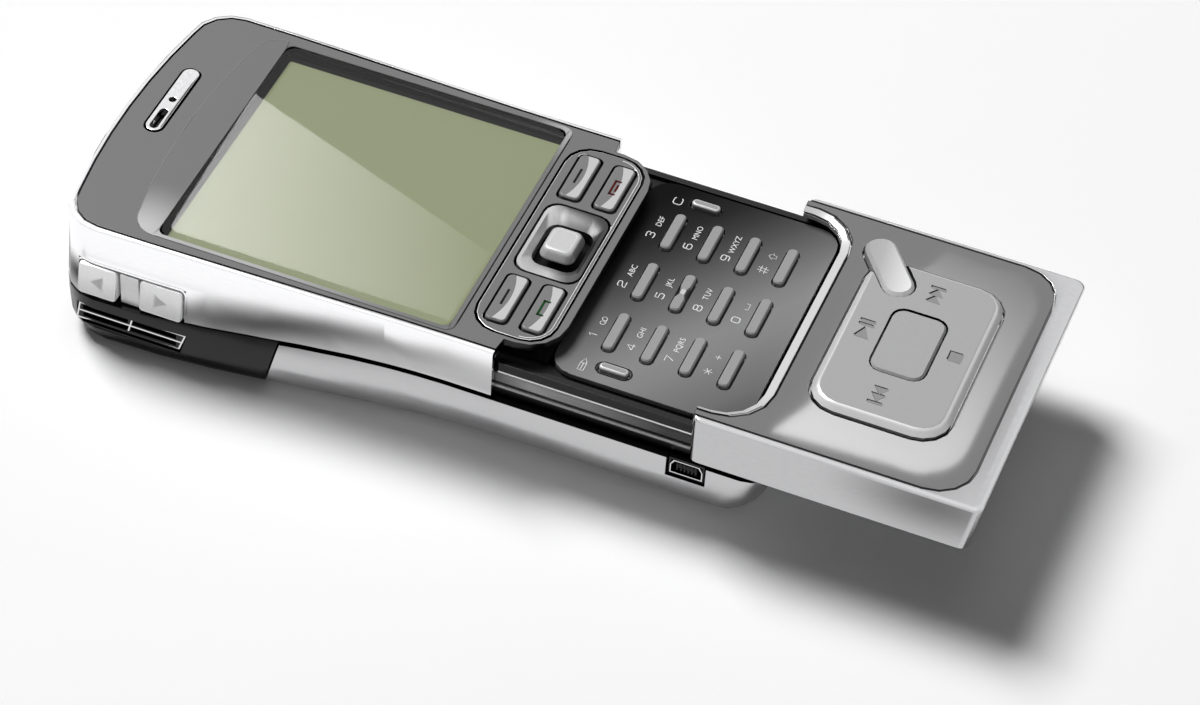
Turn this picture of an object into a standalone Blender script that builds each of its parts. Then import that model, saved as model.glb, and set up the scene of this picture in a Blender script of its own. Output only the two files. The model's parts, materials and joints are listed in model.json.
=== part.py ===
"""A slider phone, lying on its back with its cover slid open.

The body holds a display, a navigation block and a keypad. The cover carries the music keys and
slides along the body on a rail and a runner at each side. Sizes are in metres, +Z is up.
Each function below works from the edge where the shut cover meets the housing, at y = 0, with the
earpiece end towards +Y and the back on z = 0. An empty then puts the middle of the shut phone
over the origin.
"""

import math

import bmesh
import bpy
from mathutils import Matrix

# Clearances
GAP = 0.0003
CUT_OVERRUN = 0.004

# The body
BODY_HALF_WIDTH = 0.0249
BODY_HEIGHT = 0.0216
HOUSING_LENGTH = 0.0701
COVER_LENGTH = 0.0427
SLIDE_TRAVEL = 0.0296
SHELL_WALL = 0.0011
BACK_WALL = 0.0013
RIM_ROUND = 0.0006
RIM_LAND = 0.0002

# The body's sides: shoulders flare out at the earpiece end, and the back's edges grow round
SHOULDER_FLARE = 0.0026
FACE_FLARE_SHARE = 0.4
FLARE_SPAN_SHARES = (0.1, 0.86)
SEAM_DROP_LOW = 0.0084
SEAM_DROP_TOP = 0.0124
SEAM_LINE = 0.0009
BACK_ROUND_SPAN_SHARES = (-0.1, 0.8)
BACK_ROUND_TOP = 0.0026
BACK_ROUND_LOW_SIDE = 0.0093
BACK_ROUND_LOW_RISE = 0.0088

# The body's two ends
TOP_ARC_RADIUS = 0.12
TOP_CORNER = 0.0062
TOP_BACK_ROUND = 0.005
LOW_CORNER = 0.0045
LOW_SLANT_SHARE = 0.43
LOW_BACK_ROUND = 0.0055
SPLIT_FROM_TOP = 0.0378
SPLIT_LEAN = 0.0032

# Front panel and its openings
PANEL_THICKNESS = 0.0012
LEDGE_WIDTH = 0.0015
LEDGE_THICKNESS = 0.0019
EAR_WIDTH = 0.0034
TONGUE_LENGTH = 0.00775
TONGUE_CORNER = 0.006
WINDOW_SIDE_MARGIN = 0.0015
WINDOW_LOW = 0.0078
WINDOW_TOP_MARGIN = 0.0166
WINDOW_CORNER = 0.002
WINDOW_THICKNESS = 0.0009
DISPLAY_THICKNESS = 0.0017
DISPLAY_BORDER = 0.0008
EARPIECE_X = 0.004
EARPIECE_FROM_TOP = 0.0061
EARPIECE_HALF_LENGTH = 0.00735
EARPIECE_HALF_WIDTH = 0.0013
EARPIECE_PROUD = 0.00015
EARPIECE_SLOT_X = -0.0046
EARPIECE_SLOT_HALF_LENGTH = 0.0023
EARPIECE_SLOT_HALF_WIDTH = 0.00065
EARPIECE_DOT_RADIUS = 0.0006
SPEAKER_HALF_LENGTH = 0.006
SPEAKER_HALF_WIDTH = 0.0024
SPEAKER_THICKNESS = 0.0021

# Navigation block: its keys share out the plate's width
NAV_MARGIN = 0.001
NAV_LOW = -0.0062
NAV_TOP = 0.0057
NAV_CORNER = 0.0042
NAV_THICKNESS = 0.0014
NAV_KEY_LENGTH_SHARE = 0.239
NAV_KEY_HALF_WIDTH = 0.00165
NAV_KEY_CORNER = 0.0009
NAV_KEY_PROUD = 0.00035
NAV_KEY_BEVEL = 0.0004
NAV_KEY_FLANGE = 0.0004
NAV_KEY_TRAVEL = 0.0003
SOFT_KEY_X_SHARE = 0.678
SOFT_KEY_Y = 0.0024
CALL_KEY_X_SHARE = 0.673
CALL_KEY_Y = -0.00315
BOARD_THICKNESS = 0.0006
SURROUND_WIDTH_SHARE = 0.361
SURROUND_HALF_HEIGHT = 0.0049
SURROUND_Y = -0.0005
SURROUND_CORNER = 0.0022
SURROUND_SKIRT = 0.0025
SURROUND_DISH = 0.0005
WELL_WIDTH_SHARE = 0.61
WELL_HALF_HEIGHT = 0.0036
WELL_CORNER = 0.0018
STICK_WIDTH_SHARE = 0.69
STICK_HALF_HEIGHT = 0.0027
STICK_CORNER = 0.0013
STICK_TOP_SHARE = 0.76
STICK_HEIGHT = 0.0018
STICK_BEVEL = 0.0004
PIVOT_RADIUS = 0.0011
PIVOT_HEIGHT = 0.0004
PLUNGER_RADIUS = 0.0015
PLUNGER_HEIGHT = 0.0004

# Keypad: its keys share out the plate's width and height
KEYPAD_DROP = 0.0026
KEYPAD_THICKNESS = 0.0008
KEYPAD_SIDE_MARGIN = 0.0008
KEYPAD_TUCK = 0.00075
KEYPAD_END_MARGIN = 0.00105
KEYPAD_CORNER = 0.0035
KEY_PITCH_X_SHARE = 0.527
KEY_PITCH_Y_SHARE = 0.198
FIRST_ROW_SHARE = 0.22
KEY_LENGTH_SHARE = 0.344
KEY_HALF_WIDTH = 0.0008
KEY_PROUD = 0.00065
KEY_BEVEL = 0.0002
KEY_FLANGE = 0.0004
KEY_TRAVEL = 0.0003
SIDE_KEY_MARGIN = 0.0004
SIDE_KEY_Y_SHARE = 0.304
SIDE_KEY_HALF_LENGTH = 0.0022
SIDE_KEY_HALF_WIDTH = 0.0007
PILL_ROUND_SHARE = 0.94

# Chassis, boards and what it carries
RUNNER_SPACE = 0.0015
CHASSIS_FROM_TOP = 0.0141
CHASSIS_BRIDGE = 0.007
CHASSIS_CORNER = 0.003
CHASSIS_DEPTH = 0.0102
CHASSIS_WALL = 0.0023
CHASSIS_WEB = 0.0006
BATTERY_SIDE_MARGIN = 0.003
BATTERY_LENGTH = 0.053
BATTERY_LOW_END = -0.027
BATTERY_CORNER = 0.0012
DISK_SIDE_MARGIN = 0.0018
DISK_LENGTH = 0.042
DISK_CLEARANCE = 0.0007
DISK_THICKNESS = 0.0047
DISK_LOW_END = -0.022
DISK_CORNER = 0.0006
SCREW_FROM_SIDE = 0.0043
SCREW_HEAD_RADIUS = 0.0016
SCREW_HEAD_HEIGHT = 0.0009
SCREW_SHANK_RADIUS = 0.0007
SCREW_LENGTH = 0.005

# Slide
GROOVE_DEPTH = 0.0014
RUNNER_HEIGHT = 0.0018
RUNNER_LEAD = 0.0417
RAIL_HEIGHT = 0.0016
RAIL_LEAD = 0.01

# Cover
COVER_SLAB = 0.00075
COVER_CORNER = 0.0014
COVER_END_SLANT = 0.0012
COVER_PANEL_THICKNESS = 0.0006
COVER_PANEL_END = 0.0028
COVER_PANEL_CORNER = 0.0062
COVER_MOUTH_CORNER = 0.006
LIP_WIDTH_SIDE = 0.00075
LIP_WIDTH_END = 0.00125
LIP_SLOPE = 0.00045
PAD_SIDE_MARGIN = 0.0078
PAD_HEIGHT_SHARE = 0.589
PAD_PLACE_SHARE = 0.552
PAD_X = 0.0004
PAD_CORNER = 0.0045
PAD_HEIGHT = 0.0017
PAD_CHAMFER = 0.0009
PAD_TRAVEL = 0.00025
CENTRE_WIDTH_SHARE = 0.406
CENTRE_HEIGHT_SHARE = 0.388
CENTRE_CORNER = 0.0018
CENTRE_PROUD = 0.0001
CENTRE_CHAMFER = 0.0003
OVAL_IN_FROM_SIDE = 0.002
OVAL_IN_FROM_EDGE = 0.0027
OVAL_HALF_LENGTH = 0.0061
OVAL_HALF_WIDTH = 0.0024
OVAL_TURN = math.radians(37)
OVAL_PROUD = 0.0002
OVAL_CHAMFER = 0.0005

# Side and end fittings
VOLUME_FROM_TOP = 0.0055
VOLUME_LENGTH = 0.0173
VOLUME_KEY_LENGTHS = (0.0069, 0.0063)
VOLUME_HEIGHT = 0.0053
VOLUME_PROUD = 0.0005
VOLUME_FLANGE = 0.0006
VOLUME_FLANGE_REACH = 0.0013
VOLUME_BEVEL = 0.0006
VOLUME_TRAVEL = 0.0004
GRILLE_FROM_TOP = 0.0056
GRILLE_LENGTH = 0.0173
GRILLE_LEAN = 0.0012
GRILLE_BASE_SHARE = 0.38
GRILLE_HEIGHT_SHARE = 0.36
GRILLE_THICKNESS = 0.0007
GRILLE_SET_IN = 0.0004
GRILLE_BAR = 0.0005
LOUDSPEAKER_LENGTH = 0.015
LOUDSPEAKER_WIDTH = 0.009
LOUDSPEAKER_CORNER = 0.0015
USB_Y = -0.0299
USB_HALF_LENGTH = 0.0027
USB_HEIGHT = 0.0032
USB_DEPTH = 0.0045
USB_WALL = 0.00035
CAMERA_X = 0.0085
CAMERA_FROM_TOP = 0.0201
CAMERA_RADIUS = 0.0042
CAMERA_SNOUT_RADIUS = 0.0029
CAMERA_RECESS = 0.0004
JACK_X = -0.0135
JACK_RADIUS = 0.003
JACK_BORE_RADIUS = 0.0018
JACK_LENGTH = 0.0095
END_FITTING_RISE = 0.004
POWER_HALF_LENGTH = 0.003
POWER_HALF_WIDTH = 0.001
POWER_PROUD = 0.0004
POWER_FLANGE = 0.0006
POWER_TRAVEL = 0.0003
HOLD_X = 0.0135
HOLD_HALF_LENGTH = 0.0018
HOLD_HALF_WIDTH = 0.0009
HOLD_TRAVEL = 0.002

# Heights, worked out from the sizes above
SEAM_TOP = BODY_HEIGHT - SEAM_DROP_TOP
SEAM_LOW = BODY_HEIGHT - SEAM_DROP_LOW
BACK_TOP = SEAM_LOW - SEAM_LINE
PANEL_BASE = BODY_HEIGHT - PANEL_THICKNESS
LEDGE_TOP = PANEL_BASE - GAP
LEDGE_BASE = LEDGE_TOP - LEDGE_THICKNESS
CHASSIS_TOP = LEDGE_BASE - GAP
CHASSIS_BASE = CHASSIS_TOP - CHASSIS_DEPTH
CHASSIS_WEB_LOW = CHASSIS_BASE + DISK_THICKNESS + DISK_CLEARANCE
WEB_TOP = CHASSIS_WEB_LOW + CHASSIS_WEB
KEYPAD_FACE = BODY_HEIGHT - KEYPAD_DROP
KEYPAD_BASE = KEYPAD_FACE - KEYPAD_THICKNESS
COVER_UNDERSIDE = KEYPAD_FACE + KEY_PROUD + GAP
COVER_SLAB_TOP = COVER_UNDERSIDE + COVER_SLAB
MUSIC_BASE = COVER_SLAB_TOP + GAP + PAD_TRAVEL / 2
RAIL_BASE = BACK_TOP + GAP
GROOVE_BASE = RAIL_BASE + RAIL_HEIGHT + GAP
RUNNER_BASE = GROOVE_BASE + GAP
INNER_FLOOR = BACK_WALL + GAP
BATTERY_THICKNESS = CHASSIS_BASE - INNER_FLOOR - 2 * GAP
LOUDSPEAKER_HEIGHT = CHASSIS_BASE - SCREW_HEAD_HEIGHT - INNER_FLOOR - 2 * GAP
GRILLE_BASE = GRILLE_BASE_SHARE * SEAM_TOP
GRILLE_HEIGHT = GRILLE_HEIGHT_SHARE * SEAM_TOP
END_FITTING_Z = SEAM_TOP + END_FITTING_RISE

# Places across the phone, from its middle line
SKIRT_INNER = BODY_HALF_WIDTH - SHELL_WALL
RUNNER_OUTER = SKIRT_INNER - GAP
CHASSIS_HALF_WIDTH = SKIRT_INNER - RUNNER_SPACE
POCKET_HALF_WIDTH = CHASSIS_HALF_WIDTH - CHASSIS_WALL
FACE_HALF_WIDTH = BODY_HALF_WIDTH - RIM_ROUND - RIM_LAND
WINDOW_HALF_WIDTH = FACE_HALF_WIDTH - WINDOW_SIDE_MARGIN
TONGUE_HALF_WIDTH = BODY_HALF_WIDTH - EAR_WIDTH
MOUTH_HALF_WIDTH = TONGUE_HALF_WIDTH + GAP
NAV_HALF_WIDTH = TONGUE_HALF_WIDTH - NAV_MARGIN
NAV_KEY_HALF_LENGTH = NAV_KEY_LENGTH_SHARE * NAV_HALF_WIDTH
SOFT_KEY_X = SOFT_KEY_X_SHARE * NAV_HALF_WIDTH
CALL_KEY_X = CALL_KEY_X_SHARE * NAV_HALF_WIDTH
SURROUND_HALF_WIDTH = SURROUND_WIDTH_SHARE * NAV_HALF_WIDTH
WELL_HALF_WIDTH = WELL_WIDTH_SHARE * SURROUND_HALF_WIDTH
STICK_HALF_WIDTH = STICK_WIDTH_SHARE * WELL_HALF_WIDTH
KEYPAD_HALF_WIDTH = CHASSIS_HALF_WIDTH - KEYPAD_SIDE_MARGIN
KEY_PITCH_X = KEY_PITCH_X_SHARE * KEYPAD_HALF_WIDTH
KEY_HALF_LENGTH = KEY_LENGTH_SHARE * KEY_PITCH_X
SIDE_KEY_X = POCKET_HALF_WIDTH - SIDE_KEY_HALF_WIDTH - KEY_FLANGE - SIDE_KEY_MARGIN
BATTERY_HALF_WIDTH = POCKET_HALF_WIDTH - BATTERY_SIDE_MARGIN
DISK_HALF_WIDTH = POCKET_HALF_WIDTH - DISK_SIDE_MARGIN
SCREW_X = CHASSIS_HALF_WIDTH - SCREW_FROM_SIDE
PAD_HALF_WIDTH = FACE_HALF_WIDTH - GAP - PAD_SIDE_MARGIN
CENTRE_HALF_WIDTH = CENTRE_WIDTH_SHARE * PAD_HALF_WIDTH
OVAL_FROM_PAD_X = PAD_HALF_WIDTH - OVAL_IN_FROM_SIDE

# Places along the phone, from the edge where the shut cover meets the housing
WINDOW_TOP = HOUSING_LENGTH - WINDOW_TOP_MARGIN
EARPIECE_Y = HOUSING_LENGTH - EARPIECE_FROM_TOP
VOLUME_TOP_END = HOUSING_LENGTH - VOLUME_FROM_TOP
VOLUME_LOW_END = VOLUME_TOP_END - VOLUME_LENGTH
GRILLE_TOP_END = HOUSING_LENGTH - GRILLE_FROM_TOP
GRILLE_LOW_END = GRILLE_TOP_END - GRILLE_LENGTH
CAMERA_Y = HOUSING_LENGTH - CAMERA_FROM_TOP
SHELL_SPLIT_TOP = HOUSING_LENGTH - SPLIT_FROM_TOP
SHELL_SPLIT_BACK = SHELL_SPLIT_TOP + SPLIT_LEAN
CHASSIS_TOP_END = HOUSING_LENGTH - CHASSIS_FROM_TOP
POCKET_TOP_END = CHASSIS_TOP_END - CHASSIS_BRIDGE
SCREW_Y = (CHASSIS_TOP_END + POCKET_TOP_END) / 2
COVER_FRONT = -SLIDE_TRAVEL - GAP
COVER_END = COVER_FRONT - COVER_LENGTH
MOUTH_END = -TONGUE_LENGTH - GAP - SLIDE_TRAVEL
CHASSIS_LOW_END = -COVER_LENGTH + SHELL_WALL + COVER_END_SLANT
KEYPAD_TOP = KEYPAD_TUCK - TONGUE_LENGTH
KEYPAD_LOW = MOUTH_END + KEYPAD_END_MARGIN
KEYPAD_HEIGHT = KEYPAD_TOP - KEYPAD_LOW
POCKET_LOW_END = KEYPAD_LOW - 2 * GAP
KEY_PITCH_Y = KEY_PITCH_Y_SHARE * KEYPAD_HEIGHT
FIRST_ROW_Y = KEYPAD_TOP - FIRST_ROW_SHARE * KEYPAD_HEIGHT
SIDE_KEY_Y = KEYPAD_TOP - SIDE_KEY_Y_SHARE * KEYPAD_HEIGHT
COVER_FIELD = COVER_LENGTH - TONGUE_LENGTH
PAD_HALF_HEIGHT = PAD_HEIGHT_SHARE * COVER_FIELD / 2
PAD_Y = COVER_END + PAD_PLACE_SHARE * COVER_FIELD
CENTRE_HALF_HEIGHT = CENTRE_HEIGHT_SHARE * PAD_HALF_HEIGHT
OVAL_FROM_PAD_Y = PAD_HALF_HEIGHT - OVAL_IN_FROM_EDGE
FRAME_Y = -(HOUSING_LENGTH - COVER_LENGTH - GAP) / 2

QUARTER_TURN = math.pi / 2
CORNER_STEPS = 4
SIDE_STEPS = 11
SEAM_STEPS = 12
ARCH_STEPS = 3


def blend(start, end, share):
    """The value that far from start to end."""
    return start + (end - start) * share


def eased(value, start, end):
    """0 before start, 1 after end, with a smooth rise between."""
    share = min(max((value - start) / (end - start), 0.0), 1.0)
    return share * share * (3 - 2 * share)


def drawn_in(height, radius_side, radius_rise):
    """How far a quarter-round edge of this height has left its side."""
    below = min(max(1 - height / radius_rise, 0.0), 1.0)
    return radius_side * (1 - math.sqrt(1 - below * below))


def arc(centre_x, centre_y, radius, start, sweep, steps=CORNER_STEPS):
    """Points along an arc, both ends included."""
    angles = [start + sweep * step / steps for step in range(steps + 1)]
    return [(centre_x + radius * math.cos(a), centre_y + radius * math.sin(a)) for a in angles]


def rounded_box(half_x, half_y, radius, centre=(0.0, 0.0), steps=CORNER_STEPS):
    """A rectangle's outline with round corners, anticlockwise."""
    points = []
    for turn, (side_x, side_y) in enumerate(((1, 1), (-1, 1), (-1, -1), (1, -1))):
        corner_x = centre[0] + side_x * (half_x - radius)
        corner_y = centre[1] + side_y * (half_y - radius)
        points += arc(corner_x, corner_y, radius, turn * QUARTER_TURN, QUARTER_TURN, steps)
    return points


def pill(half_x, half_y, grow=0.0):
    """A long rounded key's outline, grown by a margin."""
    half_x, half_y = half_x + grow, half_y + grow
    return rounded_box(half_x, half_y, PILL_ROUND_SHARE * min(half_x, half_y))


def turned_outline(outline, angle, centre):
    """The outline turned about its own middle and moved."""
    cosine, sine = math.cos(angle), math.sin(angle)
    return [(centre[0] + x * cosine - y * sine, centre[1] + x * sine + y * cosine) for x, y in outline]


def mirrored(right_half):
    """A closed outline from its right half, whose first and last points lie on the middle line."""
    return right_half + [(-x, y) for x, y in reversed(right_half[1:-1])]


def flare_at(y):
    """0 along the straight sides, 1 at the shoulders."""
    start, end = (share * HOUSING_LENGTH for share in FLARE_SPAN_SHARES)
    return eased(y, start, end)


def seam_at(y):
    """The height of the housing's lower edge."""
    return BODY_HEIGHT - blend(SEAM_DROP_LOW, SEAM_DROP_TOP, flare_at(y))


def half_width_at(y, z):
    """Half the body's outer width at this place along it and this height."""
    depth = min((BODY_HEIGHT - z) / SEAM_DROP_TOP, 1.0)
    flare = SHOULDER_FLARE * flare_at(y) * blend(FACE_FLARE_SHARE, 1.0, depth * depth)
    start, end = (share * HOUSING_LENGTH for share in BACK_ROUND_SPAN_SHARES)
    towards_top = eased(y, start, end)
    side = blend(BACK_ROUND_LOW_SIDE, BACK_ROUND_TOP, towards_top)
    rise = blend(BACK_ROUND_LOW_RISE, BACK_ROUND_TOP, towards_top)
    rim = drawn_in(BODY_HEIGHT - z, RIM_ROUND, RIM_ROUND)
    return BODY_HALF_WIDTH + flare - drawn_in(z, side, rise) - rim


def top_end_at(z):
    """Where the earpiece end lies on the middle line at this height."""
    rim = drawn_in(BODY_HEIGHT - z, RIM_ROUND, RIM_ROUND)
    return HOUSING_LENGTH - drawn_in(z, TOP_BACK_ROUND, TOP_BACK_ROUND) - rim


def low_end_at(z):
    """Where the other end lies at this height: it slants in below the seam line."""
    slant = LOW_SLANT_SHARE * max(BACK_TOP - z, 0.0)
    return slant + drawn_in(z, LOW_BACK_ROUND, LOW_BACK_ROUND) - COVER_LENGTH


def arch(x):
    """How far the earpiece end has curved away at this distance from the middle."""
    return x * x / (2 * TOP_ARC_RADIUS)


def body_outline(z, inset=0.0):
    """The body's outline at this height, drawn in by an inset."""
    low, top = low_end_at(z) + inset, top_end_at(z) - inset
    low_width = half_width_at(low, z) - inset
    low_corner = LOW_CORNER - inset
    top_width = half_width_at(top, z) - inset
    top_corner = TOP_CORNER - inset
    corner_y = top - arch(top_width - top_corner) - top_corner
    right = [(0.0, low)]
    right += arc(low_width - low_corner, low + low_corner, low_corner, -QUARTER_TURN, QUARTER_TURN)
    for step in range(1, SIDE_STEPS):
        y = blend(low + low_corner, corner_y, step / SIDE_STEPS)
        right.append((half_width_at(y, z) - inset, y))
    right += arc(top_width - top_corner, corner_y, top_corner, 0.0, QUARTER_TURN)
    for step in range(1, ARCH_STEPS + 1):
        x = (top_width - top_corner) * (1 - step / ARCH_STEPS)
        right.append((x, top - arch(x)))
    return mirrored(right)


def front_outline(inset, tongue_inset=0.0):
    """The front panel's outline: the face drawn in by an inset, and the tongue below it."""
    face = [point for point in body_outline(BODY_HEIGHT, inset) if point[1] > 0 and point[0] > 0]
    top = top_end_at(BODY_HEIGHT) - inset
    width = TONGUE_HALF_WIDTH - tongue_inset
    low = tongue_inset - TONGUE_LENGTH
    right = [(0.0, low)]
    right += arc(width - TONGUE_CORNER, low + TONGUE_CORNER, TONGUE_CORNER, -QUARTER_TURN, QUARTER_TURN)
    right += [(width, -GAP), (half_width_at(0.0, BODY_HEIGHT) - inset, 0.0)]
    return mirrored(right + face + [(0.0, top)])


def mouth_path(half_width, end, corner, start):
    """The cover's mouth: down one ear, round both corners and up the other."""
    path = [(half_width, start)]
    path += arc(half_width - corner, end + corner, corner, 0.0, -QUARTER_TURN)
    path += arc(corner - half_width, end + corner, corner, -QUARTER_TURN, -QUARTER_TURN)
    return path + [(-half_width, start)]


def collection(name):
    """A collection of this name, in the scene."""
    found = bpy.data.collections.new(name)
    bpy.context.scene.collection.children.link(found)
    return found


def material(name, colour, roughness, metallic=0.0):
    """A plain finish."""
    found = bpy.data.materials.new(name)
    found.use_nodes = True
    shader = found.node_tree.nodes["Principled BSDF"]
    shader.inputs["Base Color"].default_value = (*colour, 1.0)
    shader.inputs["Roughness"].default_value = roughness
    shader.inputs["Metallic"].default_value = metallic
    return found


class Workshop:
    """Makes objects, keeps them in their collections and hangs them on the body's empty."""

    def __init__(self):
        self.parts = collection("slider_phone")
        self.cutters = collection("cutters")
        self.frame = self.empty("phone_frame", (0.0, FRAME_Y, 0.0), None)
        self.finishes = {
            "silver": material("polished_silver", (0.78, 0.78, 0.79), 0.22, 0.8),
            "panel": material("grey_panel", (0.22, 0.22, 0.22), 0.5, 0.3),
            "chrome": material("chrome", (0.85, 0.85, 0.86), 0.1, 1.0),
            "black": material("black_plastic", (0.01, 0.01, 0.01), 0.4),
            "glass": material("window_glass", (0.3, 0.33, 0.2), 0.1),
            "key": material("grey_key", (0.32, 0.32, 0.32), 0.4),
            "keypad": material("dark_keypad", (0.06, 0.06, 0.06), 0.4, 0.3),
            "pad": material("music_pad_grey", (0.45, 0.45, 0.45), 0.35, 0.4),
            "board": material("board_green", (0.02, 0.12, 0.05), 0.5),
            "battery": material("battery_label", (0.1, 0.1, 0.12), 0.6),
            "rail": material("rail_steel", (0.5, 0.5, 0.5), 0.25, 1.0),
        }

    def empty(self, name, location, parent):
        """An empty that other pieces hang on."""
        made = bpy.data.objects.new(name, None)
        made.location = location
        made.parent = parent
        self.parts.objects.link(made)
        return made

    def keep(self, name, mesh, finish, location=(0.0, 0.0, 0.0), parent=None):
        """A finished piece of the phone."""
        made = bpy.data.objects.new(name, mesh)
        made.location = location
        made.parent = parent or self.frame
        mesh.materials.append(self.finishes[finish])
        mesh.shade_smooth()
        mesh.set_sharp_from_angle(angle=math.radians(30))
        self.parts.objects.link(made)
        return made

    def cut(self, target, mesh, operation="DIFFERENCE"):
        """Cuts the target with a hidden mesh that stands in the same place as its parent."""
        cutter = bpy.data.objects.new(mesh.name, mesh)
        cutter.parent = target.parent
        cutter.location = target.location
        cutter.hide_render = True
        cutter.display_type = "WIRE"
        self.cutters.objects.link(cutter)
        modifier = target.modifiers.new(cutter.name, "BOOLEAN")
        modifier.operation = operation
        modifier.object = cutter


def mesh_from(name, shape):
    """A mesh from a bmesh, with its faces turned outwards."""
    bmesh.ops.recalc_face_normals(shape, faces=shape.faces)
    mesh = bpy.data.meshes.new(name)
    shape.to_mesh(mesh)
    shape.free()
    return mesh


AXES = {
    "X": Matrix(((0, 0, 1, 0), (1, 0, 0, 0), (0, 1, 0, 0), (0, 0, 0, 1))),
    "Y": Matrix(((1, 0, 0, 0), (0, 0, 1, 0), (0, 1, 0, 0), (0, 0, 0, 1))),
    "Z": Matrix.Identity(4),
}


def stack(name, layers, axis="Z"):
    """A body through outlines with the same number of points, each at its own height.

    Its sides are split into triangles, since a four-sided piece of a flaring side isn't flat.
    """
    shape = bmesh.new()
    rings = [[shape.verts.new((x, y, level)) for x, y in outline] for outline, level in layers]
    for lower, upper in zip(rings, rings[1:]):
        for index, corner in enumerate(lower):
            after = (index + 1) % len(lower)
            shape.faces.new((corner, lower[after], upper[after], upper[index]))
    bmesh.ops.triangulate(shape, faces=shape.faces)
    shape.faces.new(list(reversed(rings[0])))
    shape.faces.new(rings[-1])
    bmesh.ops.transform(shape, matrix=AXES[axis], verts=shape.verts)
    return mesh_from(name, shape)


def plate(name, outline, low, high, axis="Z", holes=()):
    """A flat outline with any holes, made as a filled 2D curve between two heights."""
    curve = bpy.data.curves.new(name, "CURVE")
    curve.dimensions = "2D"
    curve.fill_mode = "BOTH"
    curve.extrude = (high - low) / 2
    for loop in (outline, *holes):
        spline = curve.splines.new("POLY")
        spline.points.add(len(loop) - 1)
        for point, (x, y) in zip(spline.points, loop):
            point.co = (x, y, 0.0, 1.0)
        spline.use_cyclic_u = True
    guide = bpy.data.objects.new(name, curve)
    bpy.context.scene.collection.objects.link(guide)
    bpy.context.view_layer.update()
    graph = bpy.context.evaluated_depsgraph_get()
    flat = bpy.data.meshes.new_from_object(guide.evaluated_get(graph))
    bpy.data.objects.remove(guide)
    shape = bmesh.new()
    shape.from_mesh(flat)
    bmesh.ops.remove_doubles(shape, verts=shape.verts, dist=GAP / 1000)
    bmesh.ops.translate(shape, vec=(0.0, 0.0, (low + high) / 2), verts=shape.verts)
    bmesh.ops.transform(shape, matrix=AXES[axis], verts=shape.verts)
    return mesh_from(name, shape)


def block(name, low, high):
    """A box between two corners."""
    shape = bmesh.new()
    bmesh.ops.create_cube(shape, size=1.0)
    size = [end - start for start, end in zip(low, high)]
    middle = [(start + end) / 2 for start, end in zip(low, high)]
    bmesh.ops.scale(shape, vec=size, verts=shape.verts)
    bmesh.ops.translate(shape, vec=middle, verts=shape.verts)
    return mesh_from(name, shape)


def rod(name, centre, radius, low, high, axis="Z", segments=20):
    """A cylinder along an axis, between two places on it."""
    shape = bmesh.new()
    bmesh.ops.create_cone(
        shape, cap_ends=True, segments=segments, radius1=radius, radius2=radius, depth=high - low
    )
    bmesh.ops.translate(shape, vec=(*centre, (low + high) / 2), verts=shape.verts)
    bmesh.ops.transform(shape, matrix=AXES[axis], verts=shape.verts)
    return mesh_from(name, shape)


def bevelled(piece, width, segments=2):
    """Rounds a piece's sharp edges."""
    modifier = piece.modifiers.new("edge_round", "BEVEL")
    modifier.width = width
    modifier.segments = segments
    modifier.limit_method = "ANGLE"


def levels(low, high, edges):
    """Heights from low to high, with the ones in edges that lie between."""
    return [low] + [level for level in edges if low < level < high] + [high]


def body_solid(name, low, high, inset=0.0):
    """The body's outer form between two heights, or with an inset its inside."""
    round_shares = (0.04, 0.13, 0.27, 0.45, 0.7, 1.0)
    edges = [share * BACK_ROUND_LOW_RISE for share in round_shares]
    edges += [blend(BACK_TOP, PANEL_BASE, 0.5), PANEL_BASE]
    edges += [BODY_HEIGHT - share * RIM_ROUND for share in (1.0, 0.5, 0.13)]
    if inset:
        edges = [level for level in edges if level < LEDGE_BASE]
    return stack(name, [(body_outline(level, inset), level) for level in levels(low, high, edges)])


def seam_cutter(name, drop, above):
    """Everything above, or below, a line that follows the seam at this drop beneath it."""
    start, end = COVER_END, HOUSING_LENGTH + CUT_OVERRUN
    slope_start, slope_end = (share * HOUSING_LENGTH for share in FLARE_SPAN_SHARES)
    ys = [blend(slope_start, slope_end, step / SEAM_STEPS) for step in range(SEAM_STEPS + 1)]
    line = [(y, seam_at(y) - drop) for y in [start, *ys, end]]
    far = BODY_HEIGHT + CUT_OVERRUN if above else -CUT_OVERRUN
    reach = BODY_HALF_WIDTH + SHOULDER_FLARE + CUT_OVERRUN
    return plate(name, line + [(end, far), (start, far)], -reach, reach, "X")


def split_cutter(name, shift, towards_top):
    """Everything on one side of the slanting line where the rear shell meets the back cover."""
    lean = (SHELL_SPLIT_TOP - SHELL_SPLIT_BACK) / BACK_TOP
    low, high = -CUT_OVERRUN, BODY_HEIGHT
    line = [(SHELL_SPLIT_BACK + lean * z + shift, z) for z in (low, high)]
    far = HOUSING_LENGTH + CUT_OVERRUN if towards_top else COVER_END
    reach = BODY_HALF_WIDTH + SHOULDER_FLARE + CUT_OVERRUN
    return plate(name, line + [(far, high), (far, low)], -reach, reach, "X")


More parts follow.
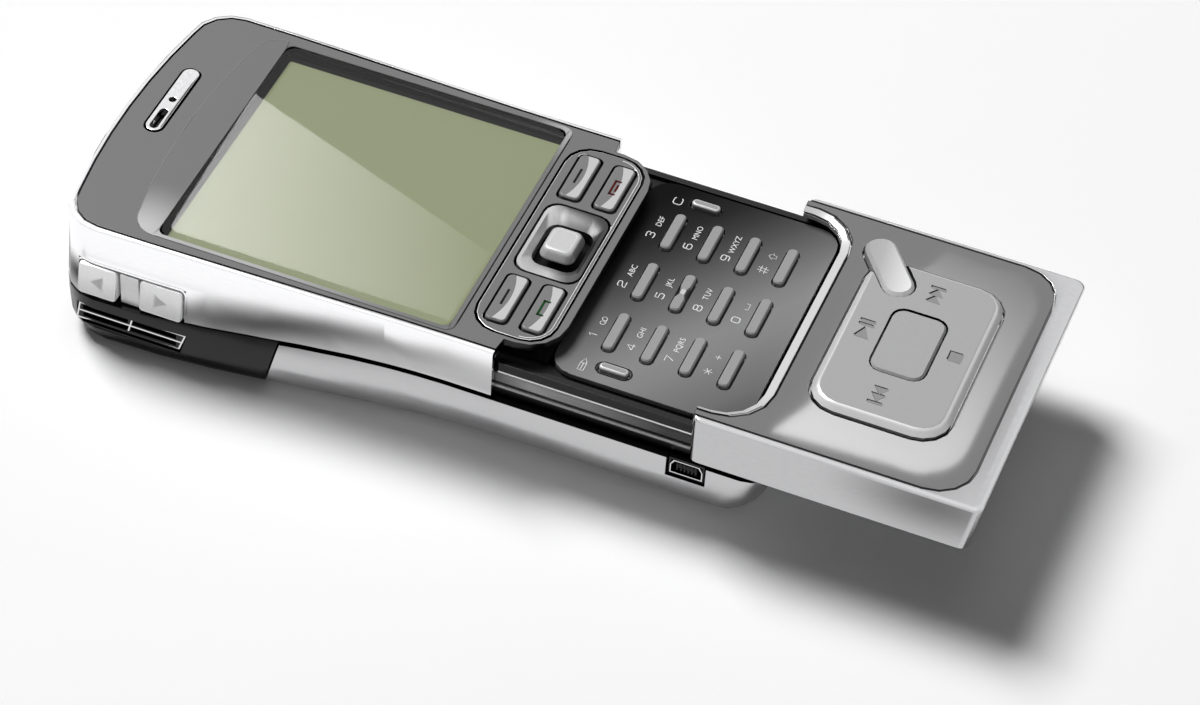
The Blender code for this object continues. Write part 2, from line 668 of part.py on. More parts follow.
def housing_notches(shop, housing):
    """The openings in the housing for the volume keys and for what stands in its top end."""
    outside = -BODY_HALF_WIDTH - SHOULDER_FLARE - CUT_OVERRUN
    base = seam_at(VOLUME_LOW_END)
    shop.cut(
        housing,
        block(
            "volume_notch",
            (outside, VOLUME_LOW_END, base - CUT_OVERRUN),
            (-SKIRT_INNER + GAP, VOLUME_TOP_END, base + VOLUME_HEIGHT + GAP),
        ),
    )
    start, end = HOUSING_LENGTH - JACK_LENGTH, HOUSING_LENGTH + CUT_OVERRUN
    shop.cut(housing, rod("jack_hole", (JACK_X, END_FITTING_Z), JACK_RADIUS + GAP, start, end, "Y"))
    button = pill(POWER_HALF_LENGTH, POWER_HALF_WIDTH, GAP)
    button = [(x, z + END_FITTING_Z) for x, z in button]
    shop.cut(housing, plate("power_hole", button, start, end, "Y"))
    slot = pill(HOLD_HALF_LENGTH + HOLD_TRAVEL / 2, HOLD_HALF_WIDTH, GAP)
    slot = [(x + HOLD_X - HOLD_TRAVEL / 2, z + END_FITTING_Z) for x, z in slot]
    shop.cut(housing, plate("hold_slot", slot, start, end, "Y"))


def upper_housing(shop):
    """The silver frame round the front panel, down to the seam."""
    base = SEAM_TOP - CUT_OVERRUN
    top = BODY_HEIGHT + CUT_OVERRUN
    housing = shop.keep("upper_housing", body_solid("upper_housing", base, BODY_HEIGHT), "silver")
    shop.cut(housing, seam_cutter("below_seam", 0.0, False))
    shop.cut(housing, body_solid("housing_inside", base - GAP, LEDGE_BASE, SHELL_WALL))
    width = BODY_HALF_WIDTH + CUT_OVERRUN
    shop.cut(housing, block("below_edge", (-width, COVER_END, -GAP), (width, 0.0, top)))
    shop.cut(housing, plate("panel_seat", front_outline(RIM_LAND), LEDGE_TOP, top))
    opening = front_outline(RIM_LAND + LEDGE_WIDTH)
    shop.cut(housing, plate("panel_opening", opening, LEDGE_BASE - GAP, LEDGE_TOP + GAP))
    housing_notches(shop, housing)


def window_outline(grow):
    """The display window's outline, grown by a margin."""
    half_height = (WINDOW_TOP - WINDOW_LOW) / 2 + grow
    middle = (WINDOW_TOP + WINDOW_LOW) / 2
    return rounded_box(WINDOW_HALF_WIDTH + grow, half_height, WINDOW_CORNER, (0.0, middle))


def nav_outline(grow):
    """The navigation plate's outline, grown by a margin."""
    half_height = (NAV_TOP - NAV_LOW) / 2 + grow
    middle = (NAV_TOP + NAV_LOW) / 2
    return rounded_box(NAV_HALF_WIDTH + grow, half_height, NAV_CORNER, (0.0, middle))


def earpiece_outline(grow):
    """The earpiece trim's outline in the front panel."""
    points = pill(EARPIECE_HALF_LENGTH, EARPIECE_HALF_WIDTH, grow)
    return [(x + EARPIECE_X, y + EARPIECE_Y) for x, y in points]


def front(shop):
    """The front panel, and the window and display behind it."""
    openings = (window_outline(GAP), nav_outline(GAP), earpiece_outline(GAP))
    panel = plate("front_panel", front_outline(RIM_LAND + GAP), PANEL_BASE, BODY_HEIGHT, "Z", openings)
    shop.keep("front_panel", panel, "panel")
    window_base = BODY_HEIGHT - WINDOW_THICKNESS
    window = plate("display_window", window_outline(0.0), window_base, BODY_HEIGHT)
    shop.keep("display_window", window, "glass")
    width = half_width_at(0.0, BODY_HEIGHT) - RIM_LAND - LEDGE_WIDTH - GAP
    display_base = CHASSIS_TOP + GAP
    display = block(
        "display_module",
        (-width, WINDOW_LOW - DISPLAY_BORDER, display_base),
        (width, WINDOW_TOP + DISPLAY_BORDER, display_base + DISPLAY_THICKNESS),
    )
    bevelled(shop.keep("display_module", display, "glass"), GAP, 1)


def earpiece(shop):
    """The earpiece's trim with its slot and dot, and the small speaker behind it."""
    slot = [(x + EARPIECE_SLOT_X, y) for x, y in pill(EARPIECE_SLOT_HALF_LENGTH, EARPIECE_SLOT_HALF_WIDTH)]
    dot = arc(0.0, 0.0, EARPIECE_DOT_RADIUS, 0.0, 2 * math.pi * 11 / 12, 11)
    outline = pill(EARPIECE_HALF_LENGTH, EARPIECE_HALF_WIDTH)
    trim = plate("earpiece_trim", outline, PANEL_BASE, BODY_HEIGHT + EARPIECE_PROUD, "Z", (slot, dot))
    shop.keep("earpiece_trim", trim, "silver", (EARPIECE_X, EARPIECE_Y, 0.0))
    outline = pill(SPEAKER_HALF_LENGTH, SPEAKER_HALF_WIDTH)
    speaker = plate("earpiece_speaker", outline, LEDGE_TOP - SPEAKER_THICKNESS, LEDGE_TOP)
    shop.keep("earpiece_speaker", speaker, "black", (EARPIECE_X, EARPIECE_Y, 0.0))


def nav_key_places():
    """Each navigation key's name and the middle of its face."""
    return {
        "soft_key_left": (-SOFT_KEY_X, SOFT_KEY_Y),
        "soft_key_right": (SOFT_KEY_X, SOFT_KEY_Y),
        "call_key": (-CALL_KEY_X, CALL_KEY_Y),
        "end_key": (CALL_KEY_X, CALL_KEY_Y),
    }


def nav_key_outline(grow):
    """A navigation key's outline about its own middle, grown by a margin."""
    half_x, half_y = NAV_KEY_HALF_LENGTH + grow, NAV_KEY_HALF_WIDTH + grow
    return rounded_box(half_x, half_y, NAV_KEY_CORNER, steps=3)


def surround_outline(grow):
    """The joystick surround's outline about its own middle."""
    half_x, half_y = SURROUND_HALF_WIDTH + grow, SURROUND_HALF_HEIGHT + grow
    return rounded_box(half_x, half_y, SURROUND_CORNER)


def navigation(shop):
    """The navigation plate, its four keys and the board under them."""
    holes = [[(px + x, py + y) for px, py in nav_key_outline(GAP)] for x, y in nav_key_places().values()]
    holes.append([(x, y + SURROUND_Y) for x, y in surround_outline(GAP)])
    base = BODY_HEIGHT - NAV_THICKNESS
    shop.keep("nav_plate", plate("nav_plate", nav_outline(0.0), base, BODY_HEIGHT, "Z", holes), "panel")
    board_base = CHASSIS_TOP + GAP
    low = (-NAV_HALF_WIDTH, KEYPAD_TOP + GAP, board_base)
    high = (NAV_HALF_WIDTH, NAV_TOP, board_base + BOARD_THICKNESS)
    shop.keep("nav_board", block("nav_board", low, high), "board")
    flange_base = board_base + BOARD_THICKNESS + NAV_KEY_TRAVEL + GAP
    flange_top = base - GAP
    top = BODY_HEIGHT + NAV_KEY_PROUD
    for name, (x, y) in nav_key_places().items():
        layers = [
            (nav_key_outline(NAV_KEY_FLANGE), flange_base - top),
            (nav_key_outline(NAV_KEY_FLANGE), flange_top - top),
            (nav_key_outline(0.0), flange_top - top),
            (nav_key_outline(0.0), -NAV_KEY_BEVEL),
            (nav_key_outline(-NAV_KEY_BEVEL), 0.0),
        ]
        shop.keep(name, stack(name, layers), "key", (x, y, top))


def joystick(shop):
    """The joystick: a surround with a well, a cap, and the pivot and plunger that carry the cap."""
    base = BODY_HEIGHT - SURROUND_SKIRT
    rim = surround_outline(0.0)
    layers = [(rim, base), (rim, BODY_HEIGHT)]
    surround = shop.keep("joystick_surround", stack("joystick_surround", layers), "silver")
    surround.location = (0.0, SURROUND_Y, 0.0)
    well = rounded_box(WELL_HALF_WIDTH, WELL_HALF_HEIGHT, WELL_CORNER)
    dish = rounded_box(
        SURROUND_HALF_WIDTH - SURROUND_DISH, SURROUND_HALF_HEIGHT - SURROUND_DISH, SURROUND_CORNER
    )
    well_top = BODY_HEIGHT - 2 * SURROUND_DISH
    layers = [(well, base - GAP), (well, well_top), (dish, BODY_HEIGHT), (dish, BODY_HEIGHT + GAP)]
    shop.cut(surround, stack("joystick_well", layers))
    board_top = CHASSIS_TOP + GAP + BOARD_THICKNESS
    plunger_base = board_top + GAP
    pivot_base = plunger_base + PLUNGER_HEIGHT + GAP
    cap_base = pivot_base + PIVOT_HEIGHT + GAP
    place = (0.0, SURROUND_Y, 0.0)
    plunger = rod("joystick_plunger", (0.0, 0.0), PLUNGER_RADIUS, plunger_base, pivot_base - GAP)
    shop.keep("joystick_plunger", plunger, "black", place)
    middle = pivot_base + PIVOT_HEIGHT / 2
    pivot = rod("joystick_pivot", (0.0, 0.0), PIVOT_RADIUS, -PIVOT_HEIGHT / 2, PIVOT_HEIGHT / 2)
    shop.keep("joystick_pivot", pivot, "black", (0.0, SURROUND_Y, middle))
    cap = [
        (rounded_box(STICK_HALF_WIDTH * share, STICK_HALF_HEIGHT * share, STICK_CORNER * share), z)
        for share, z in (
            (1.0, cap_base),
            (1.0, cap_base + STICK_BEVEL),
            (blend(1.0, STICK_TOP_SHARE, 0.5), cap_base + STICK_HEIGHT - STICK_BEVEL),
            (STICK_TOP_SHARE, cap_base + STICK_HEIGHT),
        )
    ]
    cap = [(outline, z - middle) for outline, z in cap]
    shop.keep("joystick_cap", stack("joystick_cap", cap), "silver", (0.0, SURROUND_Y, middle))


def keypad_places():
    """Each keypad key's name, the middle of its face and its half sizes."""
    places = {}
    names = ("1", "2", "3", "4", "5", "6", "7", "8", "9", "star", "0", "hash")
    for index, name in enumerate(names):
        row, column = divmod(index, 3)
        x = (column - 1) * KEY_PITCH_X
        y = FIRST_ROW_Y - row * KEY_PITCH_Y
        places["key_" + name] = (x, y, KEY_HALF_LENGTH, KEY_HALF_WIDTH)
    for name, side in (("edit_key", -1), ("clear_key", 1)):
        places[name] = (side * SIDE_KEY_X, SIDE_KEY_Y, SIDE_KEY_HALF_WIDTH, SIDE_KEY_HALF_LENGTH)
    return places


def keypad(shop):
    """The keypad plate, its fourteen keys and their board."""
    holes = []
    for x, y, half_x, half_y in keypad_places().values():
        holes.append([(px + x, py + y) for px, py in pill(half_x, half_y, GAP)])
    half_height = KEYPAD_HEIGHT / 2
    middle = (0.0, (KEYPAD_TOP + KEYPAD_LOW) / 2)
    outline = rounded_box(KEYPAD_HALF_WIDTH, half_height, KEYPAD_CORNER, middle)
    shop.keep("keypad_plate", plate("keypad_plate", outline, KEYPAD_BASE, KEYPAD_FACE, "Z", holes), "keypad")
    top = KEYPAD_FACE + KEY_PROUD
    flange_top = KEYPAD_BASE - GAP
    flange_base = flange_top - KEY_FLANGE
    for name, (x, y, half_x, half_y) in keypad_places().items():
        layers = [
            (pill(half_x, half_y, KEY_FLANGE), flange_base - top),
            (pill(half_x, half_y, KEY_FLANGE), flange_top - top),
            (pill(half_x, half_y), flange_top - top),
            (pill(half_x, half_y), -KEY_BEVEL),
            (pill(half_x, half_y, -KEY_BEVEL), 0.0),
        ]
        shop.keep(name, stack(name, layers), "key", (x, y, top))
    board_top = flange_base - KEY_TRAVEL - GAP
    width = POCKET_HALF_WIDTH - GAP
    low = (-width, KEYPAD_LOW, board_top - BOARD_THICKNESS)
    shop.keep("keypad_board", block("keypad_board", low, (width, KEYPAD_TOP, board_top)), "board")


def chassis(shop):
    """The black inner frame: a pocket above and below its web, and a groove along each side."""
    half_height = (CHASSIS_TOP_END - CHASSIS_LOW_END) / 2
    middle = (0.0, (CHASSIS_TOP_END + CHASSIS_LOW_END) / 2)
    outline = rounded_box(CHASSIS_HALF_WIDTH, half_height, CHASSIS_CORNER, middle)
    frame = shop.keep("chassis", plate("chassis", outline, CHASSIS_BASE, CHASSIS_TOP), "black")
    width = POCKET_HALF_WIDTH
    low, high = (-width, POCKET_LOW_END, WEB_TOP), (width, POCKET_TOP_END, BODY_HEIGHT)
    shop.cut(frame, block("top_pocket", low, high))
    low, high = (-width, POCKET_LOW_END, 0.0), (width, POCKET_TOP_END, CHASSIS_WEB_LOW)
    shop.cut(frame, block("disk_pocket", low, high))
    end = low_end_at(CHASSIS_BASE) + BACK_WALL + GAP + (LOW_CORNER - BACK_WALL) / 2
    low, high = (-BODY_HALF_WIDTH, COVER_END, 0.0), (BODY_HALF_WIDTH, end, RAIL_BASE)
    shop.cut(frame, block("nose_step", low, high))
    for side, name in ((-1, "left"), (1, "right")):
        floor, outside = side * (CHASSIS_HALF_WIDTH - GROOVE_DEPTH), side * BODY_HALF_WIDTH
        front_end = COVER_FRONT + RUNNER_LEAD + SLIDE_TRAVEL + GAP
        low = (min(floor, outside), COVER_END, GROOVE_BASE)
        high = (max(floor, outside), front_end, GROOVE_BASE + RUNNER_HEIGHT + 2 * GAP)
        shop.cut(frame, block("groove_" + name, low, high))
        hole_top = CHASSIS_BASE - GAP + SCREW_LENGTH + GAP
        place = (side * SCREW_X, SCREW_Y)
        shop.cut(frame, rod("screw_hole_" + name, place, SCREW_SHANK_RADIUS + GAP, 0.0, hole_top))
    low = (-CHASSIS_HALF_WIDTH - GAP, USB_Y - USB_HALF_LENGTH - GAP, 0.0)
    high = (-POCKET_HALF_WIDTH + GAP, USB_Y + USB_HALF_LENGTH + GAP, RAIL_BASE)
    shop.cut(frame, block("usb_notch", low, high))


def screws(shop):
    """The two screws that hold the rear shell's bridge to the chassis."""
    base = CHASSIS_BASE - GAP - SCREW_HEAD_HEIGHT
    head_top = base + SCREW_HEAD_HEIGHT
    top = head_top + SCREW_LENGTH
    for side, name in ((-1, "left"), (1, "right")):
        shape = bmesh.new()
        profile = [
            (0.0, top),
            (SCREW_SHANK_RADIUS, top),
            (SCREW_SHANK_RADIUS, head_top),
            (SCREW_HEAD_RADIUS, head_top),
            (SCREW_HEAD_RADIUS, base),
            (0.0, base),
        ]
        corners = [shape.verts.new((x, 0.0, z)) for x, z in profile]
        for first, second in zip(corners, corners[1:]):
            shape.edges.new((first, second))
        mesh = bpy.data.meshes.new("screw_" + name)
        shape.to_mesh(mesh)
        shape.free()
        screw = shop.keep("screw_" + name, mesh, "rail", (side * SCREW_X, SCREW_Y, 0.0))
        turn = screw.modifiers.new("turned", "SCREW")
        turn.steps = turn.render_steps = 12
        turn.use_merge_vertices = True
        turn.merge_threshold = GAP / 1000


def rails(shop):
    """The fixed steel rail along each side of the chassis."""
    for side, name in ((-1, "left"), (1, "right")):
        inner, outer = side * (CHASSIS_HALF_WIDTH + GAP), side * RUNNER_OUTER
        low = (min(inner, outer), CHASSIS_LOW_END, RAIL_BASE)
        high = (max(inner, outer), RAIL_LEAD, RAIL_BASE + RAIL_HEIGHT)
        rail = shop.keep("slide_rail_" + name, block("slide_rail_" + name, low, high), "rail")
        bevelled(rail, RAIL_HEIGHT / 8, 1)


def cover_body(shop, slide):
    """The cover's silver housing: skirts, end wall and the slab under its panel."""
    outlines = []
    rim_shares = (1.0, 0.5, 0.13, 0.0)
    rises = [SEAM_LOW] + [BODY_HEIGHT - share * RIM_ROUND for share in rim_shares]
    half_height = COVER_LENGTH / 2
    for z in rises:
        rim = drawn_in(BODY_HEIGHT - z, RIM_ROUND, RIM_ROUND)
        slant = COVER_END_SLANT if z == SEAM_LOW else rim
        middle = (0.0, (COVER_FRONT + COVER_END + slant) / 2)
        outline = rounded_box(BODY_HALF_WIDTH - rim, half_height - slant / 2, COVER_CORNER, middle)
        outlines.append((outline, z))
    housing = shop.keep("cover_housing", stack("cover_housing", outlines), "silver", parent=slide)
    low = (-SKIRT_INNER, COVER_END + SHELL_WALL + COVER_END_SLANT, 0.0)
    high = (SKIRT_INNER, 0.0, COVER_UNDERSIDE)
    shop.cut(housing, block("cover_inside", low, high))
    width = FACE_HALF_WIDTH
    seat = cover_face(width, 0.0, CUT_OVERRUN)
    shop.cut(housing, plate("cover_seat", seat, COVER_SLAB_TOP, BODY_HEIGHT + CUT_OVERRUN))
    mouth = mouth_path(MOUTH_HALF_WIDTH, MOUTH_END, COVER_MOUTH_CORNER, COVER_FRONT + CUT_OVERRUN)
    shop.cut(housing, plate("cover_mouth", mouth, SEAM_LOW, BODY_HEIGHT + CUT_OVERRUN))
    low = (-BODY_HALF_WIDTH - GAP, COVER_FRONT - GAP / 10, 0.0)
    high = (BODY_HALF_WIDTH + GAP, 0.0, BODY_HEIGHT + CUT_OVERRUN)
    shop.cut(housing, block("cover_front_face", low, high))


def cover_face(half_width, inset, overrun=0.0):
    """The outline of the cover's flat top, round at its end corners."""
    end = COVER_END + COVER_PANEL_END + inset
    corner = COVER_PANEL_CORNER - inset
    start = COVER_FRONT + overrun
    points = [(half_width, start)]
    points += reversed(arc(half_width - corner, end + corner, corner, -QUARTER_TURN, QUARTER_TURN))
    points += reversed(arc(corner - half_width, end + corner, corner, -2 * QUARTER_TURN, QUARTER_TURN))
    return points + [(-half_width, start)]


def cover_top(shop, slide):
    """The cover's grey panel and the polished lip round its mouth."""
    width = FACE_HALF_WIDTH - GAP
    base = BODY_HEIGHT - COVER_PANEL_THICKNESS
    outer = cover_face(width, GAP)
    side, end = LIP_WIDTH_SIDE + GAP, LIP_WIDTH_END + GAP
    inner = mouth_path(MOUTH_HALF_WIDTH + side, MOUTH_END - end, COVER_MOUTH_CORNER + side, COVER_FRONT)
    panel = plate("cover_panel", outer + list(reversed(inner)), base, BODY_HEIGHT)
    panel = shop.keep("cover_panel", panel, "panel", parent=slide)
    shop.cut(panel, plate("pad_hole", pad_outline(GAP), 0.0, BODY_HEIGHT + CUT_OVERRUN))
    shop.cut(panel, plate("oval_hole", oval_outline(GAP), 0.0, BODY_HEIGHT + CUT_OVERRUN))
    near = mouth_path(MOUTH_HALF_WIDTH, MOUTH_END, COVER_MOUTH_CORNER, COVER_FRONT)
    far = mouth_path(
        MOUTH_HALF_WIDTH + LIP_WIDTH_SIDE,
        MOUTH_END - LIP_WIDTH_END,
        COVER_MOUTH_CORNER + LIP_WIDTH_SIDE,
        COVER_FRONT,
    )
    lip_base = COVER_SLAB_TOP + GAP
    shape = bmesh.new()
    rows = []
    for (near_x, near_y), (far_x, far_y) in zip(near, far):
        rows.append(
            [
                shape.verts.new((near_x, near_y, lip_base)),
                shape.verts.new((far_x, far_y, lip_base)),
                shape.verts.new((far_x, far_y, BODY_HEIGHT)),
                shape.verts.new((near_x, near_y, BODY_HEIGHT - LIP_SLOPE)),
            ]
        )
    for before, after in zip(rows, rows[1:]):
        for corner in range(4):
            beside = (corner + 1) % 4
            shape.faces.new((before[corner], before[beside], after[beside], after[corner]))
    shape.faces.new(rows[0])
    shape.faces.new(list(reversed(rows[-1])))
    shop.keep("cover_lip", mesh_from("cover_lip", shape), "chrome", parent=slide)


def runners(shop, slide):
    """The dark strip inside each skirt, which runs in the chassis's groove."""
    for side, name in ((-1, "left"), (1, "right")):
        inner = side * (CHASSIS_HALF_WIDTH - GROOVE_DEPTH + GAP)
        outer = side * RUNNER_OUTER
        low = (min(inner, outer), COVER_END + SHELL_WALL + COVER_END_SLANT + GAP, RUNNER_BASE)
        high = (max(inner, outer), COVER_FRONT + RUNNER_LEAD, RUNNER_BASE + RUNNER_HEIGHT)
        runner = block("cover_runner_" + name, low, high)
        bevelled(shop.keep("cover_runner_" + name, runner, "black", parent=slide), RUNNER_HEIGHT / 10, 1)


def pad_outline(grow):
    """The music pad's outline where it lies in the cover."""
    half_x, half_y = PAD_HALF_WIDTH + grow, PAD_HALF_HEIGHT + grow
    return rounded_box(half_x, half_y, PAD_CORNER + grow, (PAD_X, PAD_Y))


def centre_outline(grow):
    """The centre key's outline about its own middle."""
    half_x, half_y = CENTRE_HALF_WIDTH + grow, CENTRE_HALF_HEIGHT + grow
    return rounded_box(half_x, half_y, CENTRE_CORNER + grow)


def oval_outline(grow, from_middle=False):
    """The oval key's outline, where it lies across the pad's corner or about its own middle."""
    centre = (PAD_X + OVAL_FROM_PAD_X, PAD_Y + OVAL_FROM_PAD_Y)
    points = pill(OVAL_HALF_LENGTH, OVAL_HALF_WIDTH, grow)
    return turned_outline(points, OVAL_TURN, (0.0, 0.0) if from_middle else centre)


def music_keys(shop, slide):
    """The music pad, the key in its middle and the oval key across its corner."""
    top = MUSIC_BASE + PAD_HEIGHT
    layers = [
        (pad_outline(0.0), MUSIC_BASE),
        (pad_outline(0.0), top - PAD_CHAMFER),
        (pad_outline(-PAD_CHAMFER), top),
    ]
    layers = [([(x - PAD_X, y - PAD_Y) for x, y in outline], z) for outline, z in layers]
    pad = shop.keep("music_pad", stack("music_pad", layers), "pad", (PAD_X, PAD_Y, 0.0), slide)
    above = BODY_HEIGHT + CUT_OVERRUN
    shop.cut(pad, plate("centre_hole", centre_outline(GAP), 0.0, above))
    oval = [(x - PAD_X, y - PAD_Y) for x, y in oval_outline(GAP)]
    shop.cut(pad, plate("oval_notch", oval, 0.0, above))
    centre_top = top + CENTRE_PROUD
    layers = [
        (centre_outline(0.0), MUSIC_BASE),
        (centre_outline(0.0), centre_top - CENTRE_CHAMFER),
        (centre_outline(-CENTRE_CHAMFER), centre_top),
    ]
    shop.keep("music_centre_key", stack("music_centre_key", layers), "pad", (PAD_X, PAD_Y, 0.0), slide)
    oval_top = top + OVAL_PROUD
    layers = [
        (oval_outline(0.0, True), MUSIC_BASE),
        (oval_outline(0.0, True), oval_top - OVAL_CHAMFER),
        (oval_outline(-OVAL_CHAMFER, True), oval_top),
    ]
    place = (PAD_X + OVAL_FROM_PAD_X, PAD_Y + OVAL_FROM_PAD_Y, 0.0)
    shop.keep("music_oval_key", stack("music_oval_key", layers), "silver", place, slide)


def back_shells(shop):
    """The black rear shell and the silver back cover, which share the body's outer form."""
    split = GAP / 2
    for name, finish, drop, towards_top in (
        ("rear_shell", "black", GAP, False),
        ("back_cover", "silver", SEAM_LINE, True),
    ):
        shell = shop.keep(name, body_solid(name, 0.0, SEAM_LOW), finish)
        shop.cut(shell, body_solid(name + "_inside", BACK_WALL, SEAM_LOW + GAP, BACK_WALL))
        shop.cut(shell, seam_cutter(name + "_top", drop, True))
        shift = -split if towards_top else split
        shop.cut(shell, split_cutter(name + "_split", shift, towards_top))
        if towards_top:
            low = (-BODY_HALF_WIDTH - GAP, USB_Y - USB_HALF_LENGTH - GAP, usb_base() - GAP)
            high = (-POCKET_HALF_WIDTH, USB_Y + USB_HALF_LENGTH + GAP, SEAM_LOW)
            shop.cut(shell, block("usb_mouth", low, high))
        else:
            place = (CAMERA_X, CAMERA_Y)
            hole = rod("camera_hole", place, CAMERA_SNOUT_RADIUS + GAP, -GAP, BACK_WALL + GAP)
            shop.cut(shell, hole)
            outside = -BODY_HALF_WIDTH - SHOULDER_FLARE - CUT_OVERRUN
            inside = -BODY_HALF_WIDTH + SHELL_WALL
            shop.cut(shell, plate("grille_opening", grille_outline(GAP), outside, inside, "X"))


def grille_outline(grow):
    """The loudspeaker grille's leaning outline on the rear shell's left side."""
    low, high = GRILLE_LOW_END - grow, GRILLE_TOP_END + grow
    base, top = GRILLE_BASE - grow, GRILLE_BASE + GRILLE_HEIGHT + grow
    return [(low + GRILLE_LEAN, base), (high + GRILLE_LEAN / 2, base), (high, top), (low, top)]


def grille_slots():
    """Two rows of two slots in the grille."""
    slots = []
    middle = (GRILLE_LOW_END + GRILLE_TOP_END + GRILLE_LEAN) / 2
    row_height = (GRILLE_HEIGHT - 3 * GRILLE_BAR) / 2
    for row in range(2):
        base = GRILLE_BASE + GRILLE_BAR + row * (row_height + GRILLE_BAR)
        start = GRILLE_LOW_END + GRILLE_LEAN + GRILLE_BAR
        for low, high in ((start, middle - GRILLE_BAR / 2), (middle + GRILLE_BAR / 2, GRILLE_TOP_END - GRILLE_BAR)):
            slots.append([(low, base), (high, base), (high, base + row_height), (low, base + row_height)])
    return slots


def loudspeaker(shop):
    """The grille in the rear shell's left side, and the loudspeaker behind it."""
    middle = (GRILLE_LOW_END + GRILLE_TOP_END) / 2
    surface = half_width_at(GRILLE_LOW_END, GRILLE_BASE) - GRILLE_SET_IN
    inner = surface - GRILLE_THICKNESS
    grille = plate("speaker_grille", grille_outline(0.0), -surface, -inner, "X", grille_slots())
    shop.keep("speaker_grille", grille, "silver")
    low_y = middle - LOUDSPEAKER_LENGTH / 2
    outline = rounded_box(LOUDSPEAKER_WIDTH / 2, LOUDSPEAKER_LENGTH / 2, LOUDSPEAKER_CORNER)
    x = 2 * GAP + LOUDSPEAKER_WIDTH / 2 - inner
    base = INNER_FLOOR
    speaker = plate("loudspeaker", outline, base, base + LOUDSPEAKER_HEIGHT)
    shop.keep("loudspeaker", speaker, "black", (x, low_y + LOUDSPEAKER_LENGTH / 2, 0.0))


def volume_keys(shop):
    """The two volume keys, which follow the slope of the housing's left shoulder."""
    base = seam_at(VOLUME_LOW_END)
    top = base + VOLUME_HEIGHT
    starts = (VOLUME_LOW_END + GAP, VOLUME_TOP_END - GAP - VOLUME_KEY_LENGTHS[1])
    gap_middle = (starts[0] + VOLUME_KEY_LENGTHS[0] + starts[1]) / 2
    for index, name in enumerate(("volume_key_down", "volume_key_up")):
        low, high = starts[index], starts[index] + VOLUME_KEY_LENGTHS[index]
        middle = (low + high) / 2
        outer_base = -half_width_at(middle, base) - VOLUME_PROUD
        outer_top = -half_width_at(middle, top) - VOLUME_PROUD
        inner = -SKIRT_INNER - GAP
        section = [(outer_base, base), (inner, base), (inner, top), (outer_top, top)]
        key = shop.keep(name, plate(name, section, low, high, "Y"), "silver")
        bevelled(key, VOLUME_BEVEL, 2)
        flange_low, flange_high = (low, gap_middle - GAP / 2) if index == 0 else (gap_middle + GAP / 2, high)
        corners = (
            (inner - VOLUME_FLANGE, flange_low, base + VOLUME_BEVEL),
            (inner, flange_high, top - VOLUME_BEVEL),
        )
        shop.cut(key, block(name + "_flange", *corners), "UNION")


def usb_base():
    """The underside of the USB socket, which hangs just under the rail."""
    return RAIL_BASE - GAP - USB_HEIGHT


def usb_socket(shop):
    """The small USB socket in the left side: a sleeve round a contact tongue."""
    outer = -BODY_HALF_WIDTH + GAP
    low = (outer, USB_Y - USB_HALF_LENGTH, usb_base())
    high = (outer + USB_DEPTH, USB_Y + USB_HALF_LENGTH, usb_base() + USB_HEIGHT)
    socket = shop.keep("usb_socket", block("usb_socket", low, high), "rail")
    low = (outer - GAP, USB_Y - USB_HALF_LENGTH + USB_WALL, usb_base() + USB_WALL)
    high = (outer + USB_DEPTH - USB_WALL, USB_Y + USB_HALF_LENGTH - USB_WALL, usb_base() + USB_HEIGHT - USB_WALL)
    shop.cut(socket, block("usb_mouth_space", low, high))
    tongue_low = (outer + GAP, USB_Y - USB_HALF_LENGTH / 2, usb_base() + USB_HEIGHT / 2 - USB_WALL)
    tongue_high = (outer + USB_DEPTH - USB_WALL / 2, USB_Y + USB_HALF_LENGTH / 2, usb_base() + USB_HEIGHT / 2 + USB_WALL)
    shop.cut(socket, block("usb_tongue", tongue_low, tongue_high), "UNION")


def inside(shop):
    """Main board, battery, disk drive and camera."""
    width = POCKET_HALF_WIDTH - GAP
    base = WEB_TOP + GAP
    low, high = (-width, POCKET_LOW_END + GAP, base), (width, POCKET_TOP_END - GAP, base + BOARD_THICKNESS)
    shop.keep("main_board", block("main_board", low, high), "board")
    for name, finish, half_width, start, length, base, height, corner in (
        (
            "battery",
            "battery",
            BATTERY_HALF_WIDTH,
            BATTERY_LOW_END,
            BATTERY_LENGTH,
            INNER_FLOOR,
            BATTERY_THICKNESS,
            BATTERY_CORNER,
        ),
        (
            "disk_drive",
            "rail",
            DISK_HALF_WIDTH,
            DISK_LOW_END,
            DISK_LENGTH,
            CHASSIS_WEB_LOW - GAP - DISK_THICKNESS,
            DISK_THICKNESS,
            DISK_CORNER,
        ),
    ):
        outline = rounded_box(half_width, length / 2, corner, (0.0, start + length / 2))
        shop.keep(name, plate(name, outline, base, base + height), finish)
    body_base = INNER_FLOOR
    snout = rod("camera", (0.0, 0.0), CAMERA_RADIUS, body_base, body_base + BATTERY_THICKNESS, segments=24)
    camera = shop.keep("camera", snout, "black", (CAMERA_X, CAMERA_Y, 0.0))
    lens = rod("camera_snout", (0.0, 0.0), CAMERA_SNOUT_RADIUS, CAMERA_RECESS, body_base + GAP, segments=24)
    shop.cut(camera, lens, "UNION")


